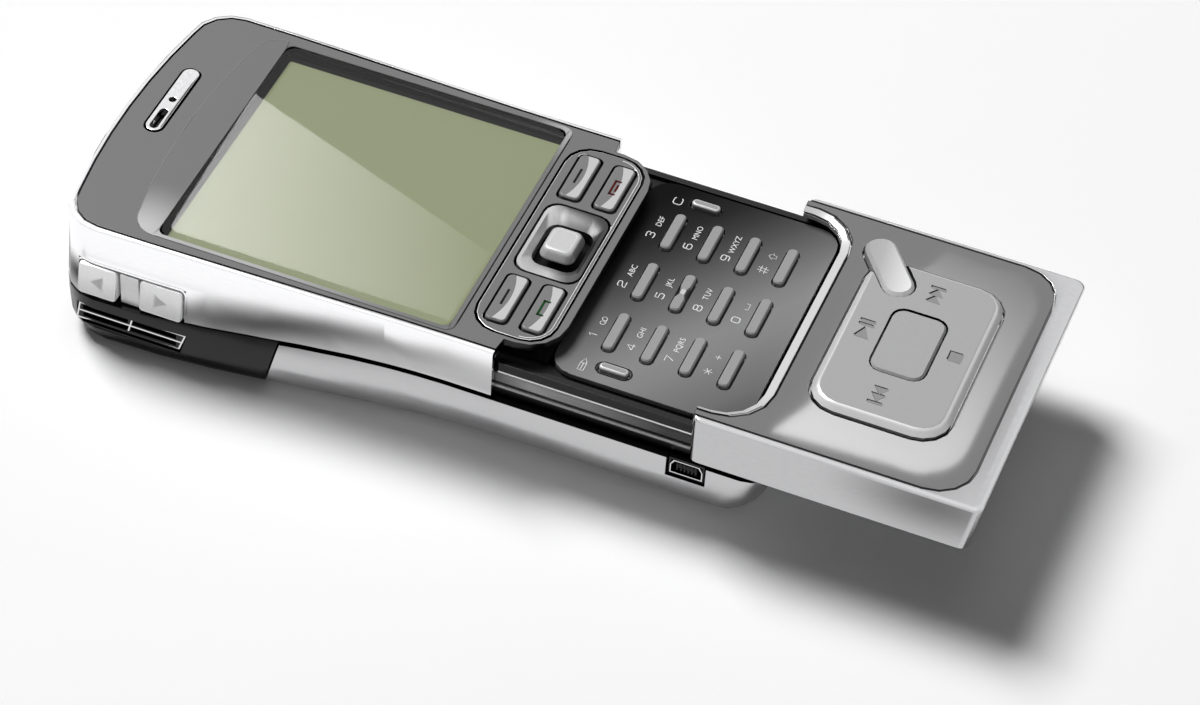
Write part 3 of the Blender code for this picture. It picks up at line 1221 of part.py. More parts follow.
def end_fittings(shop):
    """The headphone jack, power button and hold switch in the earpiece end."""
    wall = HOUSING_LENGTH - arch(JACK_X)
    start = wall - SHELL_WALL - JACK_LENGTH
    barrel = rod("headphone_jack", (0.0, 0.0), JACK_RADIUS, start, wall - GAP, "Y", 24)
    jack = shop.keep("headphone_jack", barrel, "black", (JACK_X, 0.0, END_FITTING_Z))
    shop.cut(jack, rod("jack_bore", (0.0, 0.0), JACK_BORE_RADIUS, start + SHELL_WALL, HOUSING_LENGTH, "Y", 24))
    inner_wall = HOUSING_LENGTH - SHELL_WALL
    flange = pill(POWER_HALF_LENGTH, POWER_HALF_WIDTH, POWER_FLANGE)
    face = pill(POWER_HALF_LENGTH, POWER_HALF_WIDTH)
    layers = [
        (flange, -GAP - POWER_FLANGE),
        (flange, -GAP),
        (face, -GAP),
        (face, SHELL_WALL + POWER_PROUD),
    ]
    place = (0.0, inner_wall - arch(POWER_HALF_LENGTH + POWER_FLANGE), END_FITTING_Z)
    shop.keep("power_button", stack("power_button", layers, "Y"), "silver", place)
    flange = pill(HOLD_HALF_LENGTH, HOLD_HALF_WIDTH, POWER_FLANGE)
    face = pill(HOLD_HALF_LENGTH, HOLD_HALF_WIDTH)
    layers = [
        (flange, -GAP - POWER_FLANGE),
        (flange, -GAP),
        (face, -GAP),
        (face, SHELL_WALL + POWER_PROUD),
    ]
    place = (HOLD_X, inner_wall - arch(HOLD_X + HOLD_HALF_LENGTH + POWER_FLANGE), END_FITTING_Z)
    shop.keep("hold_switch", stack("hold_switch", layers, "Y"), "silver", place)


def main():
    """Builds the whole phone."""
    for old in list(bpy.data.objects):
        bpy.data.objects.remove(old)
    shop = Workshop()
    slide = shop.empty("cover_slide", (0.0, 0.0, 0.0), shop.frame)
    upper_housing(shop)
    front(shop)
    earpiece(shop)
    navigation(shop)
    joystick(shop)
    keypad(shop)
    chassis(shop)
    screws(shop)
    rails(shop)
    cover_body(shop, slide)
    cover_top(shop, slide)
    runners(shop, slide)
    music_keys(shop, slide)
    back_shells(shop)
    loudspeaker(shop)
    volume_keys(shop)
    usb_socket(shop)
    inside(shop)
    end_fittings(shop)


main()
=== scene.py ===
"""The looks of a slider phone: its finishes, fine shapes and markings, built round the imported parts.

Everything is in metres in the parts' own frame: +Y is the earpiece end, +Z is up off the table.
Each sub-assembly is a class, and main() builds them in order.
"""

import functools
import json
import logging
import math
from collections.abc import Callable, Iterable, Iterator
from contextlib import contextmanager
from dataclasses import dataclass, field
from enum import Enum

import bpy
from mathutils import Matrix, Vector

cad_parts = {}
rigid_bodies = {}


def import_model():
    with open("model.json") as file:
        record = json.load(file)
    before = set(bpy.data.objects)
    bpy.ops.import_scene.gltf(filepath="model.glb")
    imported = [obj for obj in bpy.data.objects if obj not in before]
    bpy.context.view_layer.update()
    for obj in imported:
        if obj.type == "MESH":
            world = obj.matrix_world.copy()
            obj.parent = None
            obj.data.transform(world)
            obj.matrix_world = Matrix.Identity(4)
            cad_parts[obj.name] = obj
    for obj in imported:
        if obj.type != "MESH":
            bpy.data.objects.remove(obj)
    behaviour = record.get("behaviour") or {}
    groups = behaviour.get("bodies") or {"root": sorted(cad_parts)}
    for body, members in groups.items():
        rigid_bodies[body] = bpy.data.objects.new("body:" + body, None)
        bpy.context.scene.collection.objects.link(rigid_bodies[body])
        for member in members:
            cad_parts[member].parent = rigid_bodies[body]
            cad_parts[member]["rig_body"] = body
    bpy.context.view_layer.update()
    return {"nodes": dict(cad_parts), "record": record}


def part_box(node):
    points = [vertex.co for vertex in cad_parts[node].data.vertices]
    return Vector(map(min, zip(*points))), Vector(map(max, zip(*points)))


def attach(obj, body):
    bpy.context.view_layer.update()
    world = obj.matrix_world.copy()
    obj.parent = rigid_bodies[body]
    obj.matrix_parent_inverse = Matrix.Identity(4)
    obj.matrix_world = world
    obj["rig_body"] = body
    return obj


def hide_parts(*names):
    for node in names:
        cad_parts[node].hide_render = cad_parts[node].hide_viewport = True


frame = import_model()

LOG = logging.getLogger("slider_phone")
MM = 0.001
Piece = bpy.types.Object
Material = bpy.types.Material
Tree = bpy.types.NodeTree
Socket = bpy.types.NodeSocket
Point = tuple[float, float, float]
Outline = list[tuple[float, float]]
Mesh = bpy.types.Mesh
Edge = bpy.types.MeshEdge
EdgeTest = Callable[[Mesh, Edge], bool]


def linear(code: str) -> tuple[float, float, float, float]:
    """Turns an sRGB hex colour into the linear values that a shader takes.

    Args:
        code: The colour, as #RRGGBB.

    Returns:
        Its linear red, green and blue, and 1 for alpha.
    """
    shares = [int(code[start : start + 2], 16) / 255 for start in (1, 3, 5)]
    red, green, blue = (s / 12.92 if s <= 0.04045 else ((s + 0.055) / 1.055) ** 2.4 for s in shares)
    return red, green, blue, 1.0


def add_node(
    tree: Tree, kind: str, values: dict[str | int, object] | None = None, out: str | int = 0
) -> Socket:
    """Adds a shader node.

    Args:
        tree: The node tree.
        kind: The node's type name after "ShaderNode".
        values: What its own settings and its inputs get, each a value or the socket that feeds it.
        out: Which output is wanted.

    Returns:
        That output.
    """
    node = tree.nodes.new("ShaderNode" + kind)
    for name, value in (values or {}).items():
        if isinstance(value, Socket):
            tree.links.new(value, node.inputs[name])
        elif isinstance(name, str) and hasattr(node, name):
            setattr(node, name, value)
        else:
            node.inputs[name].default_value = value
    return node.outputs[out]


def start_material(name: str, empty: bool = False) -> tuple[Material, Tree, Socket]:
    """Starts a node material.

    Args:
        name: Its name.
        empty: Whether its usual shader is taken out.

    Returns:
        The material, its node tree and the coordinates of the object that wears it.
    """
    made = bpy.data.materials.new(name)
    made.use_nodes = True
    tree = made.node_tree
    if empty:
        tree.nodes.remove(tree.nodes["Principled BSDF"])
    return made, tree, add_node(tree, "TexCoord", out="Object")


def glowing(made: Material, tone: Socket | None, strength: float | Socket) -> Material:
    """Ends a material that only glows.

    Args:
        made: The material, with its usual shader taken out.
        tone: Its colour, or None for white.
        strength: How strongly it glows.

    Returns:
        The material.
    """
    values = {"Strength": strength} | ({"Color": tone} if tone else {})
    glow = add_node(made.node_tree, "Emission", values)
    made.node_tree.links.new(glow, made.node_tree.nodes["Material Output"].inputs["Surface"])
    return made


@dataclass(frozen=True)
class Fade:
    """A run of tones along a straight direction on the piece.

    Attributes:
        start: Where the first tone lies, in metres.
        end: Where the last one lies.
        stops: Each tone as its share of the way and its hex colour.
    """

    start: Point
    end: Point
    stops: tuple[tuple[float, str], ...]

    def tone(self, tree: Tree, place: Socket) -> Socket:
        """Adds the fade's nodes.

        Args:
            tree: The node tree.
            place: The piece's coordinates.

        Returns:
            The colour along the fade.
        """
        way = Vector(self.end) - Vector(self.start)
        scaled = way / way.length_squared
        offset = Vector(self.start).dot(scaled)
        along = add_node(tree, "VectorMath", {"operation": "DOT_PRODUCT", 0: place, 1: scaled}, "Value")
        share = add_node(tree, "Math", {"operation": "SUBTRACT", 0: along, 1: offset})
        ramp = tree.nodes.new("ShaderNodeValToRGB")
        tree.links.new(share, ramp.inputs[0])
        spots = ramp.color_ramp.elements
        while len(spots) < len(self.stops):
            spots.new(0.5)
        for spot, (position, code) in zip(spots, self.stops):
            spot.position = position
            spot.color = linear(code)
        return ramp.outputs["Color"]


@dataclass(frozen=True)
class Glow:
    """A soft patch of another tone.

    Attributes:
        centre: Its middle, in metres.
        reach: How far it runs along each axis.
        colour: Its hex colour at the middle.
        strength: How much of that colour shows there.
    """

    centre: Point
    reach: Point
    colour: str
    strength: float = 1.0

    def tone(self, tree: Tree, place: Socket, base: Socket) -> Socket:
        """Adds the patch's nodes over another colour.

        Args:
            tree: The node tree.
            place: The piece's coordinates.
            base: The colour under the patch.

        Returns:
            The colour with the patch.
        """
        squeeze = [1 / reach for reach in self.reach]
        offset = [-middle * share for middle, share in zip(self.centre, squeeze)]
        lie = add_node(tree, "Mapping", {"Scale": squeeze, "Location": offset, "Vector": place})
        far = add_node(tree, "VectorMath", {"operation": "LENGTH", 0: lie}, "Value")
        fall = {"interpolation_type": "SMOOTHSTEP", "To Min": self.strength, "To Max": 0.0, "Value": far}
        near = add_node(tree, "MapRange", fall)
        return add_node(tree, "Mix", {"data_type": "RGBA", 0: near, 6: base, 7: linear(self.colour)}, 2)


@dataclass(frozen=True)
class Surface:
    """A finish with a fine pattern of its own.

    Attributes:
        name: What the real material is.
        colour: Its main colour.
        mark: The colour of the pattern's marks.
        roughness: How dull it is.
        metallic: 1 for bare metal.
        grain_mm: The size of one mark.
        run: How the marks are squeezed along each axis; a small number draws them out.
        relief_mm: How deep the marks are.
        coat: The share of clear lacquer on top.
        fade: Tones that run across the piece in place of the main colour.
        glows: Soft patches over them.
        shine: How strongly a finish that isn't metal mirrors, 0.5 being usual.
        coat_roughness: How dull the clear lacquer is.
        unevenness: The share by which the dullness varies over the marks.
    """

    name: str
    colour: str
    mark: str
    roughness: float
    metallic: float = 0.0
    grain_mm: float = 0.3
    run: Point = (1.0, 1.0, 1.0)
    relief_mm: float = 0.0
    coat: float = 0.0
    fade: Fade | None = None
    glows: tuple[Glow, ...] = ()
    shine: float = 0.5
    coat_roughness: float = 0.03
    unevenness: float = 0.12

    def material(self) -> Material:
        """Builds the finish as a node material.

        Returns:
            The material.
        """
        made, tree, place = start_material(self.name)
        shader = tree.nodes["Principled BSDF"].inputs
        shader["Metallic"].default_value = self.metallic
        shader["Coat Weight"].default_value = self.coat
        shader["Coat Roughness"].default_value = self.coat_roughness
        shader["Specular IOR Level"].default_value = self.shine
        lie = add_node(tree, "Mapping", {"Scale": self.run, "Vector": place})
        grain = add_node(tree, "TexNoise", {"Scale": 1 / (self.grain_mm * MM), "Detail": 3.0, "Vector": lie})
        # The noise keeps near its middle, so that part of its range is spread out.
        spread = add_node(tree, "MapRange", {"From Min": 0.35, "From Max": 0.65, "Value": grain})
        colours = {"data_type": "RGBA", 0: spread, 6: linear(self.colour), 7: linear(self.mark)}
        tone = add_node(tree, "Mix", colours, 2)
        if self.fade:
            both = {0: 1.0, 6: self.fade.tone(tree, place), 7: tone}
            tone = add_node(tree, "Mix", {"data_type": "RGBA", "blend_type": "MULTIPLY"} | both, 2)
        for glow in self.glows:
            tone = glow.tone(tree, place, tone)
        tree.links.new(tone, shader["Base Color"])
        dullest = min(1.0, (1 + self.unevenness) * self.roughness)
        dull = {"To Min": (1 - self.unevenness) * self.roughness, "To Max": dullest, "Value": grain}
        tree.links.new(add_node(tree, "MapRange", dull), shader["Roughness"])
        if self.relief_mm:
            relief = {"Distance": self.relief_mm * MM, "Strength": 1.0, "Height": grain}
            tree.links.new(add_node(tree, "Bump", relief), shader["Normal"])
        return made


@dataclass(frozen=True)
class Pane:
    """Clear moulded acrylic: it lets light through and mirrors at its face.

    Attributes:
        name: What the real material is.
        tint: The colour that passes.
        roughness: How dull its face is.
        bend: Its refractive index, low where the face is coated against glare.
        unevenness: The share by which the dullness varies.
        smears: How many smears there are in a metre.
    """

    name: str
    tint: str
    roughness: float
    bend: float = 1.49
    unevenness: float = 0.2
    smears: float = 90.0

    def material(self) -> Material:
        """Builds the finish as a node material.

        Returns:
            The material.
        """
        made, tree, place = start_material(self.name, empty=True)
        smear = add_node(tree, "TexNoise", {"Scale": self.smears, "Detail": 2.0, "Vector": place})
        low, high = (1 - self.unevenness) * self.roughness, (1 + self.unevenness) * self.roughness
        dull = add_node(tree, "MapRange", {"To Min": low, "To Max": high, "Value": smear})
        gloss = add_node(tree, "BsdfGlossy", {"Color": linear("#FFFFFF"), "Roughness": dull})
        clear = add_node(tree, "BsdfTransparent", {"Color": linear(self.tint)})
        edge = add_node(tree, "Fresnel", {"IOR": self.bend})
        behind = add_node(tree, "NewGeometry", out="Backfacing")
        front = add_node(tree, "Math", {"operation": "SUBTRACT", 0: 1.0, 1: behind})
        share = add_node(tree, "Math", {"operation": "MULTIPLY", 0: edge, 1: front})
        both = add_node(tree, "MixShader", {0: share, 1: clear, 2: gloss})
        tree.links.new(both, tree.nodes["Material Output"].inputs["Surface"])
        return made


class Look(Enum):
    """The phone's finishes, each named for the real material."""

    # Nickel-plated steel, polished: bright, with faint polishing marks along its length.
    NICKEL = Surface("polished_nickel", "#EDEDEE", "#EBEBED", 0.12, 1.0, 0.3, (1.0, 0.2, 1.0))
    # A darker copy of the same nickel plating for the cover: painted shade that tones down its reflections.
    DEEP_NICKEL = Surface("polished_nickel_painted_darker", "#CFCFD0", "#CCCCCE", 0.12, 1.0, 0.3, (1.0, 0.2, 1.0))
    # Painted highlight on edges and fine lines: nearly white, with faint fine lines.
    CUT_EDGE = Surface("edge_painted_highlight", "#FFFFFF", "#F4F4F5", 0.3, 0.45, 0.12)
    # The music pad's rounded rim, painted paler than the pad as a highlight.
    RIM = Surface("music_rim_painted_highlight", "#DCDCDC", "#D6D6D7", 0.3, 0.35, 0.15)
    # Satin nickel of the back cover: the same metal blasted with fine beads.
    SATIN = Surface("satin_nickel", "#D2D2D3", "#CFCFD1", 0.24, 1.0, 0.15)
    # Chrome-plated trim: a mirror, a little darker in its plating marks.
    CHROME = Surface("chrome_plate", "#F0F0F1", "#E4E4E6", 0.07, 1.0, 0.4)
    # Grey metallic lacquer on a steel face: even and satin, with a faint metal flake.
    LACQUER = Surface("grey_metallic_lacquer", "#787878", "#757575", 0.45, 0.0, 0.12, shine=0.2)
    # The same lacquer on the raised bezel, with painted highlights at two corners and along its near side.
    BEZEL = Surface(
        "grey_lacquer_painted_highlights",
        "#787878", "#757575", 0.4, 0.0, 0.12,
        glows=(
            Glow((-0.0245, 0.0425, 0.0216), (0.0125, 0.011, 0.01), "#D4D4D4", 0.95),
            Glow((0.0245, -0.0065, 0.0216), (0.010, 0.007, 0.01), "#C8C8C8", 0.85),
            Glow((-0.0229, 0.0290, 0.0216), (0.0012, 0.0340, 0.01), "#C4C4C4", 0.85),
        ),
        shine=0.2,
    )
    # The same lacquer under a gloss clear coat, as on the cover's face.
    GLOSS_LACQUER = Surface("gloss_grey_lacquer", "#747474", "#6F6F6F", 0.5, 0.0, 0.12, coat=1.0, shine=0.1)
    # Moulded black polycarbonate: a soft gloss with a fine moulded grain.
    BLACK = Surface("black_polycarbonate", "#040404", "#080808", 0.2, 0.0, 0.35, relief_mm=0.003, shine=0.35)
    # Glass-filled nylon of the inner frame: dark grey and dull.
    NYLON = Surface("dark_glass_filled_nylon", "#121212", "#1A1A1A", 0.55, relief_mm=0.006, shine=0.15)
    # Black ink behind the display window: even and dull.
    MASK_INK = Surface("black_mask_ink", "#0C0C0C", "#111111", 0.7, 0.0, 0.2, shine=0.05)
    # Reflective display film: an olive green with the dots just showing.
    FILM = Surface("display_film", "#92997A", "#919879", 0.5, 0.0, 0.22, shine=0.2)
    # Keypad plate with painted shade: black by the display, fading to mid grey towards the user.
    KEYPLATE = Surface(
        "keypad_plate_painted_shade",
        "#FFFFFF", "#F9F9FA", 0.4, 0.0, 0.15,
        fade=Fade(
            (0.0210, -0.0210, 0.0),
            (-0.0070, -0.0575, 0.0),
            (
                (0.08, "#000000"), (0.15, "#121212"), (0.24, "#252525"), (0.31, "#3A3A3A"),
                (0.39, "#515151"), (0.46, "#656565"), (0.54, "#787878"), (0.61, "#888888"),
                (0.68, "#909090"), (0.76, "#8B8B8B"), (0.83, "#818181"), (0.93, "#747474"),
                (1.0, "#616161"),
            ),
        ),
        shine=0.05,
    )
    # Moulded grey ABS keys: flat mid grey and satin.
    KEY = Surface("grey_abs_key", "#9E9E9E", "#9A9A9A", 0.45, 0.0, 0.2, shine=0.3)
    # Lacquered tops of the navigation keys: mid grey under a clear coat.
    NAV_KEY = Surface("lacquered_navigation_key", "#7C7C7C", "#777777", 0.35, 0.0, 0.2, coat=0.5, shine=0.2)
    # A painted highlight along their lower side: a pale field, palest in the middle.
    NAV_SLOPE = Surface("key_painted_highlight", "#C8C8C8", "#C2C2C3", 0.3, 0.2, 0.2)
    # The joystick's turned dish, with painted light and shade: bright at the display's side, in painted
    # shade at the other.
    DISH = Surface(
        "dish_painted_light_and_shade",
        "#FFFFFF", "#F6F6F7", 0.3, 0.5, 0.2,
        fade=Fade(
            (-0.0020, -0.0100, 0.0),
            (0.0010, -0.0180, 0.0),
            ((0.0, "#BDBDBD"), (0.3, "#C9C9C9"), (0.5, "#8C8C8C"), (0.62, "#606060"), (1.0, "#3A3A3A")),
        ),
    )
    # Pearl lacquer of the volume keys: nearly white, with a soft metal flake.
    PEARL = Surface("pearl_lacquered_abs", "#F0F0F0", "#E9E9EA", 0.35, 0.5, 0.2)
    # The cover's lip: a dark grey flat that is a painted reflection, its inner edge a pale painted
    # highlight.
    LIP = Surface("lip_painted_dark_reflection", "#4A4A4A", "#474747", 0.45, 0.0, 0.15, shine=0.2)
    # Dark grey plastic of the ledge beside the keypad.
    LEDGE = Surface("dark_grey_polycarbonate", "#313131", "#343434", 0.5, shine=0.15)
    # The oval music key: satin silver lacquer with a painted highlight that pales it towards the user.
    OVAL = Surface(
        "satin_oval_key",
        "#FFFFFF", "#F8F8F9", 0.4, 0.2, 0.2,
        fade=Fade(
            (0.0140, -0.0555, 0.0),
            (0.0150, -0.0630, 0.0),
            ((0.0, "#ACACAC"), (0.3, "#B4B4B4"), (1.0, "#EEEEEE")),
        ),
    )
    # Silver lacquered ABS of the joystick and buttons, pale and smooth; on some rounded edges and the middle
    # key's waist it is a painted highlight.
    SILVER_KEY = Surface("silver_abs_and_painted_highlight", "#CFCFCF", "#C8C8C9", 0.3, 0.2, 0.2)
    # Satin grey lacquer of the music keys.
    MUSIC = Surface("satin_music_key", "#B4B4B4", "#AFAFB0", 0.4, 0.0, 0.2, shine=0.2)
    # Brushed stainless steel of the screws and the joystick's works.
    STEEL = Surface("brushed_stainless_steel", "#A9A9AA", "#8E8E90", 0.24, 1.0, 0.12, (1.0, 0.02, 1.0))
    # The cover's runners: dark, with a painted sheen that is bright towards the housing.
    RUNNER = Surface(
        "runner_painted_sheen",
        "#FFFFFF", "#E9E9EA", 0.35, 0.4, 0.12, (1.0, 0.05, 1.0),
        fade=Fade(
            (0.0, -0.0140, 0.0),
            (0.0, -0.0460, 0.0),
            ((0.0, "#6A6A6A"), (0.15, "#A2A2A2"), (0.45, "#868686"), (0.8, "#3C3C3C"), (1.0, "#303030")),
        ),
    )
    # The rails: painted black shade low down, under a painted highlight along their top.
    RAIL = Surface(
        "rail_painted_shade_and_highlight",
        "#FFFFFF", "#E9E9EA", 0.3, 0.3, 0.12, (1.0, 0.05, 1.0),
        fade=Fade(
            (0.0, 0.0, 0.0126),
            (0.0, 0.0, 0.0142),
            ((0.0, "#060606"), (0.74, "#060606"), (0.8, "#B4B4B4"), (1.0, "#B4B4B4")),
        ),
    )
    # Screen-printing inks: flat, with a trace of the mesh. The white one also makes the painted highlight
    # round the volume keys' arrows, the black one the painted shadow of the music icons, and the grey one
    # the painted highlight line on the bezel.
    WHITE_INK = Surface("white_ink_and_painted_highlight", "#F6F6F6", "#EBEBEB", 0.5, 0.0, 0.1, shine=0.1)
    BLACK_INK = Surface("black_ink_and_painted_shadow", "#070707", "#0E0E0E", 0.5, 0.0, 0.1, shine=0.1)
    GREEN_INK = Surface("green_screen_ink", "#04380A", "#07420F", 0.5, 0.0, 0.1, shine=0.1)
    RED_INK = Surface("red_screen_ink", "#450508", "#500709", 0.5, 0.0, 0.1, shine=0.1)
    GREY_INK = Surface("grey_fill_and_painted_highlight", "#9C9C9C", "#969696", 0.5, 0.0, 0.1, shine=0.1)
    # Glass-fibre circuit board under green solder mask.
    BOARD = Surface("green_solder_mask", "#0F3A22", "#144A2B", 0.35, 0.0, 0.8, relief_mm=0.01)
    # Key boards under black solder mask, which hides them in the gaps.
    DARK_BOARD = Surface("black_solder_mask", "#050505", "#0A0A0A", 0.5, 0.0, 0.8, shine=0.1)
    # Battery in printed shrink film.
    BATTERY = Surface("battery_film", "#2C2C33", "#34343C", 0.35, 0.0, 1.2)
    # Pressed tin-plated steel of the disk drive.
    TIN = Surface("tin_plated_steel", "#A9ABAD", "#97999C", 0.3, 1.0, 0.5, (1.0, 0.2, 1.0))
    # Clear acrylic of the display window, coated against glare.
    WINDOW = Pane("clear_acrylic_window", "#FDFDFB", 0.012, 1.36)

    @functools.cache
    def finish(self) -> Material:
        """Its node material, which is built on first use."""
        return self.value.material()


def select_only(*pieces: Piece) -> None:
    """Selects some objects and makes the first one the active one.

    Args:
        pieces: The objects.
    """
    bpy.ops.object.select_all(action="DESELECT")
    for piece in pieces:
        piece.select_set(True)
    bpy.context.view_layer.objects.active = pieces[0]


def settle(piece: Piece) -> Piece:
    """Applies an object's place, turn and size to its mesh.

    Args:
        piece: The object.

    Returns:
        The same object.
    """
    select_only(piece)
    bpy.ops.object.transform_apply(location=True, rotation=True, scale=True)
    return piece


def joined(pieces: list[Piece], name: str) -> Piece:
    """Joins pieces into the first one.

    Args:
        pieces: The pieces.
        name: The new name of the first one.

    Returns:
        That one.
    """
    select_only(*pieces)
    bpy.ops.object.join()
    pieces[0].name = name
    return pieces[0]


@contextmanager
def opened(piece: Piece) -> Iterator[None]:
    """Keeps a piece open for editing, at first with all of it selected.

    Args:
        piece: The piece.
    """
    select_only(piece)
    bpy.ops.object.mode_set(mode="EDIT")
    bpy.ops.mesh.select_all(action="SELECT")
    yield
    bpy.ops.object.mode_set(mode="OBJECT")


def put_in_scene(name: str, data: bpy.types.ID) -> Piece:
    """Makes an object of its data and links it to the scene.

    Args:
        name: Its name.
        data: Its data.

    Returns:
        The object.
    """
    thing = bpy.data.objects.new(name, data)
    bpy.context.scene.collection.objects.link(thing)
    return thing


def from_points(name: str, vertices: Iterable[Point], faces: Iterable[Iterable[int]]) -> Piece:
    """Makes an object with a mesh of given corners and faces.

    Args:
        name: Its name.
        vertices: The corners.
        faces: Each face as its corners' numbers.

    Returns:
        The object.
    """
    mesh = bpy.data.meshes.new(name)
    mesh.from_pydata(vertices, [], faces)
    return put_in_scene(name, mesh)


def is_upright(mesh: Mesh, edge: Edge) -> bool:
    """Whether an edge stands upright."""
    start, end = (mesh.vertices[index].co for index in edge.vertices)
    return (start.xy - end.xy).length < MM / 1000


def is_level_at(mesh: Mesh, edge: Edge, height: float) -> bool:
    """Whether both ends of an edge lie at a height."""
    return all(abs(mesh.vertices[index].co.z - height) < MM / 1000 for index in edge.vertices)


def middle_of(mesh: Mesh, edge: Edge) -> Vector:
    """An edge's middle."""
    start, end = (mesh.vertices[index].co for index in edge.vertices)
    return (start + end) / 2


def arc(x: float, y: float, radius: float, start: float, sweep: float, steps: int = 8) -> Outline:
    """Points along an arc.

    Args:
        x: Its centre across.
        y: Its centre along.
        radius: Its radius.
        start: The angle of its first point, in degrees.
        sweep: How far it turns, in degrees.
        steps: How many pieces it has.

    Returns:
        The points, both ends included.
    """
    angles = [math.radians(start + sweep * step / steps) for step in range(steps + 1)]
    return [(x + radius * math.cos(a), y + radius * math.sin(a)) for a in angles]


def round_box(low_x: float, low_y: float, high_x: float, high_y: float, corner: float) -> Outline:
    """A rectangle's outline with round corners.

    Args:
        low_x: Its lowest place across.
        low_y: Its lowest place along.
        high_x: Its highest place across.
        high_y: Its highest place along.
        corner: The corners' radius.

    Returns:
        The outline, anticlockwise.
    """
    points = arc(high_x - corner, high_y - corner, corner, 0, 90)
    points += arc(low_x + corner, high_y - corner, corner, 90, 90)
    points += arc(low_x + corner, low_y + corner, corner, 180, 90)
    return points + arc(high_x - corner, low_y + corner, corner, 270, 90)


class Bench:
    """Shapes pieces with the modelling operators and hands them over finished."""

    # Corners closer than this are merged.
    DOUBLES = 0.001 * MM
    # Edges over this angle, in degrees, are rounded and stay crisp.
    CRISP = 30.0
    # Faces that turn by less than this angle, in degrees, become one.
    FLAT = 0.5
    # A face whose normal rises by less than this share is a wall.
    WALL = 0.7
    # Between these shares it belongs to the round along a wide edge.
    WIDE_ROUND = (0.15, 0.97)
    # The faces of a round corner, and of the wide round.
    CORNER_STEPS, WIDE_STEPS = 8, 3
    # The thickness of printed letters, their spacing, and the round on printed bars.
    INK, LETTER_SPACING, INK_ROUND = 0.03 * MM, 1.05, 0.01 * MM

    def __init__(self) -> None:
        """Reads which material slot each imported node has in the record."""
        self.slots = {row["node"]: row["material_slot"] for row in frame["record"]["subparts"]}

    def cube(self, name: str, low: Iterable[float], high: Iterable[float]) -> Piece:
        """Starts a piece from a cube between two corners.

        Args:
            name: The piece's name.
            low: Its lowest corner.
            high: Its highest corner.

        Returns:
            The piece, with its place in its mesh.
        """
        low, high = Vector(low), Vector(high)
        bpy.ops.object.select_all(action="DESELECT")
        bpy.ops.mesh.primitive_cube_add(size=1.0, location=(low + high) / 2, scale=high - low)
        piece = bpy.context.active_object
        piece.name = piece.data.name = name
        return settle(piece)

    def bar(
        self, name: str, low: Iterable[float], high: Iterable[float], edge: float, steps: int = 1
    ) -> Piece:
        """A bar with all its edges rounded.

        Args:
            name: The piece's name.
            low: Its lowest corner.
            high: Its highest corner.
            edge: The width of the round.
            steps: How many faces the round has.

        Returns:
            The piece.
        """
        piece = self.cube(name, low, high)
        self.round_edges(piece, edge, steps)
        return piece

    def bevel_edges(self, piece: Piece, test: EdgeTest, width: float, segments: int) -> None:
        """Bevels the edges that pass a test.

        Args:
            piece: The piece.
            test: Says whether an edge is bevelled.
            width: The bevel's width.
            segments: How many faces it has.
        """
        with opened(piece):
            bpy.ops.mesh.select_mode(type="EDGE")
            bpy.ops.mesh.select_all(action="DESELECT")
        for edge in piece.data.edges:
            edge.select = test(piece.data, edge)
        bpy.ops.object.mode_set(mode="EDIT")
        bpy.ops.mesh.bevel(offset=width, segments=segments, profile=0.5, affect="EDGES")
        bpy.ops.object.mode_set(mode="OBJECT")

    def bevel_top(self, piece: Piece, top: float, width: float, segments: int) -> None:
        """Bevels the edges that lie at a height, as bevel_edges does."""
        self.bevel_edges(piece, lambda mesh, edge: is_level_at(mesh, edge, top), width, segments)

    def round_slab(
        self, name: str, low: Iterable[float], high: Iterable[float], corner: float, edge: float = 0.0
    ) -> Piece:
        """A slab with round corners and a rounded top edge.

        Args:
            name: The piece's name.
            low: Its lowest corner.
            high: Its highest corner.
            corner: The radius of its upright corners.
            edge: The width of the round along its top edge.

        Returns:
            The piece.
        """
        piece = self.cube(name, low, high)
        self.bevel_edges(piece, is_upright, corner, self.CORNER_STEPS)
        if edge:
            self.bevel_top(piece, Vector(high).z, edge, self.WIDE_STEPS)
        return piece

    def drawn(self, name: str, paths: Iterable[Outline], closed: bool) -> Piece:
        """A curve of straight legs.

        Args:
            name: The piece's name.
            paths: Its lines.
            closed: Whether they close round filled shapes.

        Returns:
            The curve object.
        """
        curve = bpy.data.curves.new(name, "CURVE")
        curve.dimensions = "2D" if closed else "3D"
        for path in paths:
            spline = curve.splines.new("POLY")
            spline.points.add(len(path) - 1)
            for point, (x, y) in zip(spline.points, path):
                point.co = (x, y, 0.0, 1.0)
            spline.use_cyclic_u = closed
        return put_in_scene(name, curve)

    def flat_shape(self, name: str, loops: Iterable[Outline], base: float, thickness: float) -> Piece:
        """A thin flat shape with holes.

        Args:
            name: The piece's name.
            loops: Its outline and its holes.
            base: The height of its lower face.
            thickness: How thick it is.

        Returns:
            The piece.
        """
        piece = self.drawn(name, loops, closed=True)
        piece.data.fill_mode = "BOTH"
        piece.data.extrude = thickness / 2
        piece.location.z = base + thickness / 2
        return self.as_mesh(piece)

    def on_side(self, name: str, loops: Iterable[Outline], face: float, proud: float) -> Piece:
        """A thin flat shape with holes that stands on the phone's left side.

        Args:
            name: The piece's name.
            loops: Its outline and its holes, each point as its height and its place along.
            face: How far out the face under it stands.
            proud: How far it stands proud of that face.

        Returns:
            The piece.
        """
        sunk = 0.1 * MM
        piece = self.flat_shape(name, loops, -face - sunk, sunk + proud)
        select_only(piece)
        bpy.ops.transform.rotate(value=math.radians(90), orient_axis="Y", center_override=(0, 0, 0))
        return settle(piece)

